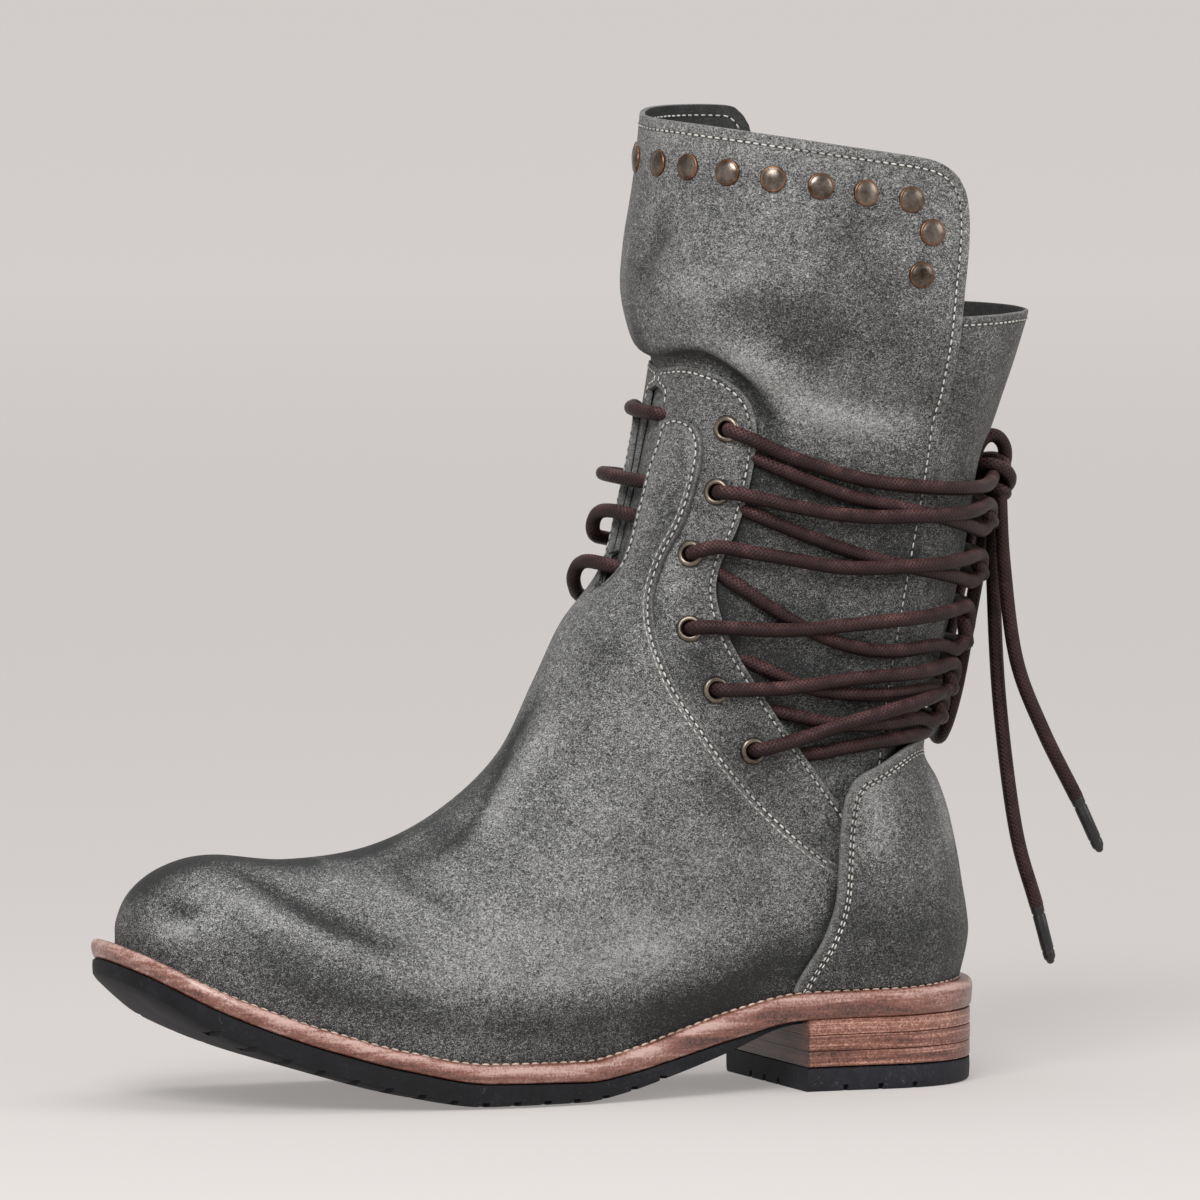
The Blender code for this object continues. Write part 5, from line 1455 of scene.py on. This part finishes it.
# waxed round braid: two sets of fine strands winding opposite ways, read from the lace's own UV
def braidedLace():
    made, tree, shader = newMaterial("burgundyBraid")
    split = put(tree, "ShaderNodeSeparateXYZ", {0: put(tree, "ShaderNodeUVMap").outputs[0]})
    around = calc(tree, "MULTIPLY", split.outputs[0], laceSet["weaveAround"] * 2 * math.pi)
    along = calc(tree, "MULTIPLY", split.outputs[1], 2 * math.pi / laceSet["weaveAlong"])
    one = calc(tree, "SINE", calc(tree, "ADD", around, along))
    two = calc(tree, "SINE", calc(tree, "SUBTRACT", around, along))
    braid = calc(tree, "ADD", calc(tree, "MULTIPLY", calc(tree, "MAXIMUM", one, two), 0.5), 0.5)
    where = objectPlace(tree)
    patches = noiseAt(tree, where, 110.0, 4.0, 0.65, 0.6)
    lint = noiseAt(tree, where, 1500.0, 2.0, 0.6, 0.8)
    # painted shade on the lace's underside and painted highlight on its top, from how far each point faces up
    tone = weighed(tree, (braid, 0.3), (patches, 0.6), (lint, 0.3),
                   (minus(tree, ownNumber(tree, "upward"), 0.55), 0.34))
    colour = ramp(tree, tone, ((0.38, (0.0025, 0.0011, 0.0015)), (0.6, (0.0112, 0.0046, 0.0056)),
                               (0.78, (0.034, 0.0148, 0.0158)), (1.0, (0.16, 0.08, 0.072))))
    feed(tree, shader, {"Base Color": colour, "Roughness": plusShare(tree, 0.36, lint, 0.3),
                        "Normal": bumpFrom(tree, plusShare(tree, braid, lint, 0.5), 0.5, 0.0003),
                        "Specular IOR Level": 0.34, "Specular Tint": (1.0, 0.74, 0.72, 1.0)})
    return made


def agletBlack():
    made, tree, shader = newMaterial("agletBlack")
    wear = noiseAt(tree, objectPlace(tree), 300.0, 4.0, 0.65, 1.0)
    colour = ramp(tree, wear, ((0.35, (0.006, 0.006, 0.007)), (0.62, (0.016, 0.015, 0.016)),
                               (0.8, (0.06, 0.05, 0.045))))
    feed(tree, shader, {"Base Color": colour, "Roughness": plusShare(tree, 0.25, wear, 0.3),
                        "Normal": bumpFrom(tree, wear, 0.2, 0.0002)})
    return made


laceBraid = braidedLace()
agletSkin = agletBlack()


# one crossing's stops on one side: over the facing, round behind the leg and back under the facing
def crossingStops(run, sign):
    over, lift = laceSet["overFacing"], run["lift"]
    outer = [(t, z, a) for (t, z), a in zip(run["outer"], (over, over, lift + 2.6, lift + 2.0))]
    inner = [(t, z, laceSet["lift"]) for t, z in run["inner"]]
    level = dict(high=run["outer"][-1][1], low=run["inner"][0][1])
    level["middle"] = (level["high"] + level["low"]) / 2
    (t1, z1), (t2, z2) = run["inner"][-2:]
    edgeX = float(np.interp(z2, [p[1] for p in eyestayEdge[::-1]], [p[0] for p in eyestayEdge[::-1]]))
    slope = (z2 - z1) / (t2 - t1)
    tuck = [(spotAt(shaftChart, edgeX + off, z2)[0], a) for off, a in tuckStops]
    inner = [stop for stop in inner if stop[0] > tuck[0][0] + laceSet["freeBehind"]]
    inner += [(t, z2 + slope * (t - t2), a) for t, a in tuck]
    hook = [(t, level[name] + above, a) for t, name, above, a in hookStops[sign]]
    return [(sign * t, z, a) for t, z, a in outer + hook + inner]


def baseStops():
    base = [(spotAt(shaftChart, baseSet["edgeX"] + off, baseSet["edgeZ"])[0],
             baseSet["startZ"] + baseSet["rise"] * off, a) for off, a in tuckStops[::-1]]
    base += [(t, z, laceSet["lift"]) for t, z in (*baseRun, baseSet["back"])]
    return [(-t, z, a) for t, z, a in base] + [(t - 2, z, a) for t, z, a in base[-2::-1]]


def lacePaths():
    holes = {-1: eyeletSpots(-1), 1: eyeletSpots(1)}
    paths = []
    for run in backRuns:
        for sign in (-1, 1):
            paths.append(fromEyelet(legPath(crossingStops(run, sign), 130), holes[sign][run["eyelet"]]))
    paths.append(smoothPath(legPath(baseStops())[::4], 1))
    for sign in (-1, 1):
        lifts = [laceSet["overFacing"]] + [laceSet["lift"]] * (len(topRun) - 1)
        path = legPath([(sign * t, z, a) for (t, z), a in zip(topRun, lifts)])
        path = fromEyelet(path, holes[sign][0])
        end = np.array([(x, sign * y, z) for x, y, z in topEnd])
        paths.append(smoothPath(np.concatenate([path[:-1:4], end]), 2))
    for run, (spot, out) in zip(frontRuns, holes[1]):
        through = out * laceSet["through"]
        end = np.array([spot + through - np.array((laceSet["hang"], 0, 0)), spot + out * 0.2, spot - through])
        paths.append(smoothPath(np.concatenate([legPath(run, 60)[::4], end]), 3))
    return paths


def freeCord(name, line, node):
    path = smoothPath(line, 1)
    piece = tubePiece(name, path, laceSet["radius"])
    paint(piece, laceBraid)
    finishPiece(piece, "lace_cord", node)


def buildLaces():
    lacing = joinPieces("laceRuns", [tubePiece("run", path, laceSet["radius"]) for path in lacePaths()])
    paint(lacing, laceBraid)
    names = [f"lace_cross_{k}" for k in range(1, 6)] + ["lace_base", "lace_top_lateral", "lace_top_medial"]
    names += [f"lace_front_{k}" for k in range(1, 5)]
    finishPiece(lacing, "lace_cord", *names)
    strands = [tubePiece("strand", smoothPath(line, 2, 0.7), laceSet["radius"]) for line in knotStrands]
    knot = joinPieces("laceKnot", strands)
    paint(knot, laceBraid)
    finishPiece(knot, "lace_cord", "lace_knot")
    freeCord("laceLoopCord", laceLoop, "lace_loop")
    at, wide = np.array(agletRings).T
    for k, (line, tip) in enumerate(zip(laceEnds, agletTips), 1):
        last = np.array(line[-1])
        path = last + unit(np.array(tip) - last) * (at[:, None] - agletSet["over"])
        aglet = tubePiece(f"laceAglet_{k}", path, wide * agletSet["share"], laceSet["tipSides"])
        paint(aglet, agletSkin)
        finishPiece(aglet, "lace_tip", f"lace_tip_{k}")
        freeCord(f"laceEndCord_{k}", line, f"lace_end_{k}")


buildLaces()
print("laces threaded")

# metal fittings, turned by extruding one ring after another
fittingSet = dict(sides=28, studPitch=14.3, studBelow=13.3, studStart=dict(lateral=9.0, medial=9.9),
                  studCount=dict(lateral=7, medial=5), studRowZ=282.0, rimFrom=3.35, proud=0.1,
                  studEdge=dict(lateral=((110.9, 261.6), (107.1, 248.7)),
                                medial=((81.5, 269.0), (84.5, 255.5))))
eyeletRings = ((2.3, -2.0), (2.3, 0.35), (2.45, 0.8), (2.8, 1.08), (3.25, 1.12), (3.7, 0.92), (4.05, 0.5),
               (4.2, 0.0), (3.9, -0.15), (2.9, -0.2), (2.9, -2.0))
studRings = ((3.2, -0.4), (4.0, -0.3), (4.08, 0.3), (3.92, 0.72), (3.62, 0.86), (3.4, 0.78), (3.28, 0.82),
             (2.9, 1.02), (2.3, 1.2), (1.6, 1.33), (0.9, 1.41), (0.3, 1.44))


def turnRings(name, rings, closed):
    bpy.ops.object.select_all(action="DESELECT")
    bpy.ops.mesh.primitive_circle_add(vertices=fittingSet["sides"], radius=rings[0][0] * 0.001)
    piece = bpy.context.object
    piece.name = name
    bpy.context.tool_settings.mesh_select_mode = (False, True, False)
    bpy.ops.object.mode_set(mode="EDIT")
    bpy.ops.mesh.select_all(action="SELECT")
    bpy.ops.transform.translate(value=(0, 0, rings[0][1] * 0.001))
    for (r0, z0), (r1, z1) in zip(rings, rings[1:]):
        bpy.ops.mesh.extrude_region_move(TRANSFORM_OT_translate={"value": (0, 0, (z1 - z0) * 0.001)})
        bpy.ops.transform.resize(value=(r1 / r0, r1 / r0, 1))
    if closed:
        bpy.ops.mesh.extrude_region_move()
        bpy.ops.transform.resize(value=(rings[0][0] / rings[-1][0], rings[0][0] / rings[-1][0], 1))
    else:
        bpy.ops.mesh.edge_face_add()
    bpy.ops.mesh.select_all(action="SELECT")
    bpy.ops.mesh.remove_doubles(threshold=0.00001)
    bpy.ops.mesh.normals_make_consistent(inside=False)
    bpy.ops.object.mode_set(mode="OBJECT")
    smoothByAngle(piece, 60)
    return piece


def agedMetal(name, dark, bright, rough):
    made, tree, shader = newMaterial(name)
    where = objectPlace(tree)
    patina = noiseAt(tree, where, 160.0, 4.0, 0.6, 0.6)
    pits = noiseAt(tree, where, 1200.0, 3.0, 0.7)
    both = weighed(tree, (patina, 0.75), (pits, 0.25))
    feed(tree, shader, {"Base Color": ramp(tree, both, ((0.35, dark), (0.65, bright))), "Metallic": 1.0,
                        "Roughness": plusShare(tree, rough, both, 0.2),
                        "Normal": bumpFrom(tree, pits, 0.15, 0.0002)})
    return made


bronzeDome = agedMetal("bronzeDome", (0.05, 0.038, 0.029), (0.27, 0.225, 0.19), 0.2)
copperRim = agedMetal("copperRim", (0.09, 0.045, 0.026), (0.30, 0.165, 0.10), 0.25)
eyeletBrass = agedMetal("eyeletBrass", (0.055, 0.045, 0.036), (0.30, 0.25, 0.20), 0.24)


def setOn(model, name, spot, out, lift):
    piece = model.copy()
    piece.data = model.data.copy()
    piece.name = name
    piece.data.name = name
    bpy.context.scene.collection.objects.link(piece)
    turn = Vector(out).to_track_quat("Z", "Y").to_matrix().to_4x4()
    piece.data.transform(Matrix.Translation(Vector(metres(spot + out * lift))) @ turn)
    return piece


def studSpots(side):
    sign = -1 if side == "lateral" else 1
    collar = collarLateral if sign < 0 else collarMedial
    turns = np.linspace(0, 0.9, 300)
    rows = [heightRow(shaftChart, t, fittingSet["studRowZ"]) for t in turns]
    line = onSkin(shaftTable, sign * turns, rows)[0]
    along = lengthAlong(line)
    found = []
    for k in range(fittingSet["studCount"][side]):
        at = fittingSet["studStart"][side] + fittingSet["studPitch"] * k
        x = float(np.interp(at, along, line[:, 0]))
        z = float(np.interp(x, [p[0] for p in collar], [p[1] for p in collar])) - fittingSet["studBelow"]
        found.append((float(np.interp(at, along, turns)), z))
    for x, z in fittingSet["studEdge"][side]:
        found.append((spotAt(shaftChart, x, z)[0], z))
    spots = [onSkin(shaftTable, [sign * t], [heightRow(shaftChart, t, z)]) for t, z in found]
    return [(spot[0], out[0]) for spot, out in spots]


def buildFittings():
    ring = turnRings("eyeletModel", eyeletRings, True)
    paint(ring, eyeletBrass)
    stud = turnRings("studModel", studRings, False)
    paint(stud, bronzeDome, copperRim)
    for face in stud.data.polygons:
        if math.hypot(face.center.x, face.center.y) > fittingSet["rimFrom"] * 0.001:
            face.material_index = 1
    for side, sign in (("lateral", -1), ("medial", 1)):
        for model, cap, node, places in ((ring, "eyeletRing", "eyelet", eyeletSpots(sign)),
                                         (stud, "studCap", "stud", studSpots(side))):
            for k, (spot, out) in enumerate(places, 1):
                piece = setOn(model, f"{cap}_{side}_{k}", spot, out, fittingSet["proud"])
                finishPiece(piece, "antique_brass", f"{node}_{side}_{k}")
    for model in (ring, stud):
        bpy.data.objects.remove(model, do_unlink=True)


buildFittings()
print("fittings set")

# seams: one stitch and one awl hole, a near-black blob of painted shade, repeated along lines a set distance
# inside a cut edge
stitchSet = dict(width=0.62, height=0.5, proud=0.08, hole=(0.42, 0.336, 0.22), step=0.25, within=0.12,
                 feel=4, above=1.5, below=4.5)
# rows of the skin between which the upper's and the facings' seams run
seamRows = dict(slotFrom=11.0, edgeFrom=5.2, fineTo=12.6, facingFrom=13.3, clear=0.02)
# threads of the upper: share of the full width, length, pitch
threadRows = dict(seamStitches=(1.0, 1.85, 2.6), fineStitches=(0.6, 1.7, 2.6),
                  counterStitches=(0.85, 1.6, 2.4))
weltSeam = dict(out=1.5, pitch=3.2, size=(1.25, 0.45, 0.5))


def threadSkin(name, dark, bright):
    made, tree, shader = newMaterial(name)
    where = objectPlace(tree)
    twist = noiseAt(tree, where, 2600.0, 2.0, 0.6, 0.6)
    worn = noiseAt(tree, where, 70.0, 3.0, 0.6)
    both = weighed(tree, (twist, 0.4), (worn, 0.6))
    feed(tree, shader, {"Base Color": ramp(tree, both, ((0.32, dark), (0.6, bright))), "Roughness": 0.75,
                        "Normal": bumpFrom(tree, twist, 0.4, 0.0002)})
    return made


creamThread = threadSkin("creamThread", (0.22, 0.215, 0.20), (0.72, 0.70, 0.655))
weltThread = threadSkin("weltThread", (0.20, 0.12, 0.08), (0.66, 0.52, 0.42))
paintedHoleShade = threadSkin("paintedHoleShade", (0.004, 0.004, 0.004), (0.012, 0.011, 0.011))


def stitchShape(sides, rings):
    bpy.ops.object.select_all(action="DESELECT")
    bpy.ops.mesh.primitive_uv_sphere_add(segments=sides, ring_count=rings, radius=1.0,
                                         rotation=(0, math.pi / 2, 0))
    model = bpy.context.object
    bpy.ops.object.transform_apply(location=True, rotation=True, scale=True)
    verts = np.array([tuple(v.co) for v in model.data.vertices])
    faces = [tuple(f.vertices) for f in model.data.polygons]
    bpy.data.objects.remove(model, do_unlink=True)
    return verts, faces


stitchModel = stitchShape(6, 5)
holeModel = stitchShape(6, 4)


def repeatShape(name, model, places, size, skin):
    verts, faces = model
    allVerts, allFaces = [], []
    for spot, way, out in places:
        side = np.cross(out, way)
        local = verts * np.array(size)
        allVerts.append(spot + local[:, :1] * way + local[:, 1:2] * side + local[:, 2:] * out)
        start = len(verts) * (len(allVerts) - 1)
        allFaces += [tuple(i + start for i in face) for face in faces]
    mesh = bpy.data.meshes.new(name)
    mesh.from_pydata(metres(np.concatenate(allVerts)).tolist(), [], allFaces)
    piece = bpy.data.objects.new(name, mesh)
    bpy.context.scene.collection.objects.link(piece)
    mesh.materials.append(skin)
    selectOnly(piece)
    bpy.ops.object.shade_smooth()
    return piece


def outerTree(piece):
    verts = np.empty(len(piece.data.vertices) * 3)
    piece.data.vertices.foreach_get("co", verts)
    faces = [tuple(f.vertices) for f in piece.data.polygons]
    return BVHTree.FromPolygons(verts.reshape(-1, 3).tolist(), faces)


# a row of places a set distance inside an edge line, laid on the piece's own skin
def seamPlaces(tree, table, edge, out, inside, pitch, shift=0.0, inner=False):
    line, normal = onSkin(table, edge[:, 0], edge[:, 1], out)
    apart = np.concatenate([[True], np.linalg.norm(np.diff(line, axis=0), axis=1) > 0.01])
    line, normal = line[apart], normal[apart]
    inward = np.cross(normal, unit(np.gradient(line, axis=0)))
    score = 0
    for k in range(2, len(line) - 2, max(1, len(line) // 12)):
        one = tree.find_nearest(metres(line[k] + inward[k] * stitchSet["feel"]))[3]
        two = tree.find_nearest(metres(line[k] - inward[k] * stitchSet["feel"]))[3]
        score += two - one
    inward = inward if score > 0 else -inward
    row = densify(line + inward * inside, stitchSet["step"])
    row = row[edgeDistance(row, (line,)) > inside - stitchSet["within"]]
    along = lengthAlong(row)
    at = np.arange(pitch * (0.5 + shift), along[-1] - 0.5, pitch)
    row = readAt(at, along, row)
    outAt = readAt(at / along[-1], np.linspace(0, 1, len(normal)), normal)
    found = []
    for k, spot in enumerate(row):
        probe = spot + outAt[k] * (-stitchSet["below"] if inner else stitchSet["above"])
        place, up, _, _ = tree.find_nearest(metres(probe))
        step = row[min(k + 1, len(row) - 1)] - row[max(k - 1, 0)]
        up = np.array(up)
        step = unit(step - up * (step @ up))
        found.append((np.array(place) * 1000 + np.array((centreX, 0, 0)), step, up))
    return found


def buildSeams():
    sewn = {name: [] for name in threadRows}
    holes = []

    def sew(thread, piece, table, edge, out, inside, inner=False):
        tree = outerTree(bpy.data.objects[piece])
        pitch = threadRows[thread][2]
        sewn[thread] += seamPlaces(tree, table, edge, out, inside, pitch, 0, inner)
        if thread != "fineStitches":
            holes.extend(seamPlaces(tree, table, edge, out, inside, pitch, 0.5, inner))

    slot = (upperRows > seamRows["slotFrom"]) & (upperRows < upperRows[-1] - seamRows["clear"])
    outside = upperEdge[upperEdge[:, 1] > seamRows["edgeFrom"]]
    vampLine = np.concatenate([np.stack([upperInner[slot], upperRows[slot]], axis=1), outside])
    fineLine = outside[outside[:, 1] < seamRows["fineTo"]]
    front = eyestayInner[eyestayInner[:, 1] > seamRows["facingFrom"]]
    for sign, side in ((-1, "lateral"), (1, "medial")):
        sew("seamStitches", "upperPiece", upperTable, signed(vampLine, sign), 0.0, seamInside["upper"])
        sew("fineStitches", "upperPiece", upperTable, signed(fineLine, sign), 0.0, seamInside["upperFine"])
        line = np.concatenate([eyestaySeams[sign], signed(front, sign)[::-1]])
        sew("seamStitches", "eyestayPiece_" + side, upperTable, line, outBy["eyestay"],
            seamInside["eyestay"])
    for inner in (False, True):
        sew("seamStitches", "shaftPiece", shaftTable, shaftSeam, 0.0, seamInside["shaft"], inner)
    sew("seamStitches", "gussetPiece", shaftTable, gussetSeam, outBy["gusset"], seamInside["gusset"])
    for inside in seamInside["counter"]:
        sew("counterStitches", "counterPiece", upperTable, counterSeam, outBy["counter"], inside)
    for name, (wide, length, _) in threadRows.items():
        places = [(spot + up * stitchSet["proud"], way, up) for spot, way, up in sewn[name]]
        size = (length / 2, wide * stitchSet["width"] / 2, wide * stitchSet["height"] / 2)
        finishPiece(repeatShape(name, stitchModel, places, size, creamThread), "upper_leather")
    # near-black blobs in the awl holes: painted shade
    finishPiece(repeatShape("paintedHoleShades", holeModel, holes, stitchSet["hole"], paintedHoleShade), "upper_leather")


def sewWelt():
    line = outlinePoints(lambda x: np.full_like(x, weltSeam["out"]))
    line = np.column_stack([line, bandTop(line[:, 0])])
    line = densify(np.concatenate([line, line[:1]]), stitchSet["step"])
    along = lengthAlong(line)
    row = readAt(np.arange(0, along[-1] - 1, weltSeam["pitch"]), along, line)
    places = []
    for spot, step in zip(row, unit(np.roll(row, -1, axis=0) - np.roll(row, 1, axis=0))):
        places.append((spot, step, unit(np.array((0.0, 0.0, 1.0)) - step * step[2])))
    piece = repeatShape("weltStitches", stitchModel, places, weltSeam["size"], weltThread)
    finishPiece(piece, "welt_leather")


buildSeams()
sewWelt()
print("seams sewn")

# plain pale floor, wide enough to fill the view, and soft light; glow by share of the depth from the camera
stageSet = dict(size=60.0, paper=(0.40, 0.38, 0.37), away=(0.3502, 0.9367), nearest=0.5, depth=5.0,
                glow=((0.0, 0.30), (0.08, 0.285), (0.14, 0.25), (0.23, 0.245), (0.53, 0.335), (0.9, 0.425)),
                warm=(1.0, 0.95, 0.92), worldColour=(1.0, 0.99, 0.985), worldLight=0.5)


def buildStage():
    bpy.ops.object.select_all(action="DESELECT")
    bpy.ops.mesh.primitive_plane_add(size=stageSet["size"])
    floor = bpy.context.object
    floor.name = "floor"
    made, tree, shader = newMaterial("palePaper")
    split = put(tree, "ShaderNodeSeparateXYZ", {0: objectPlace(tree)}).outputs
    depth = weighed(tree, (split[0], stageSet["away"][0]), (split[1], stageSet["away"][1]))
    away = calc(tree, "DIVIDE", calc(tree, "ADD", depth, stageSet["nearest"]), stageSet["depth"], True)
    stops = [(place, tuple(shade * k for k in stageSet["warm"])) for place, shade in stageSet["glow"]]
    feed(tree, shader, {"Emission Color": ramp(tree, away, stops), "Emission Strength": 1.0,
                        "Base Color": (*stageSet["paper"], 1.0), "Roughness": 0.95,
                        "Specular IOR Level": 0.1})
    paint(floor, made)
    world = bpy.data.worlds.new("studio")
    bpy.context.scene.world = world
    world.use_nodes = True
    ground = world.node_tree.nodes["Background"]
    ground.inputs["Color"].default_value = (*stageSet["worldColour"], 1.0)
    ground.inputs["Strength"].default_value = stageSet["worldLight"]
    bpy.context.scene.view_settings.view_transform = "Standard"


lightAim = (0, 0, 0.13)
lightSet = (
    dict(name="keyPanel", place=(-1.2, -1.7, 1.7), size=1.1, power=48.0),
    dict(name="topPanel", place=(0.1, 0.2, 2.2), size=2.0, power=14.0),
    dict(name="sidePanel", place=(1.7, -1.2, 0.9), size=1.0, power=10.0),
)


def buildLights():
    for light in lightSet:
        bpy.ops.object.select_all(action="DESELECT")
        bpy.ops.object.light_add(type="AREA", location=light["place"])
        made = bpy.context.object
        made.name = light["name"]
        made.data.size = light["size"]
        made.data.energy = light["power"]
        way = Vector(lightAim) - Vector(light["place"])
        made.rotation_euler = way.to_track_quat("-Z", "Y").to_euler()


buildStage()
buildLights()
print("stage lit")
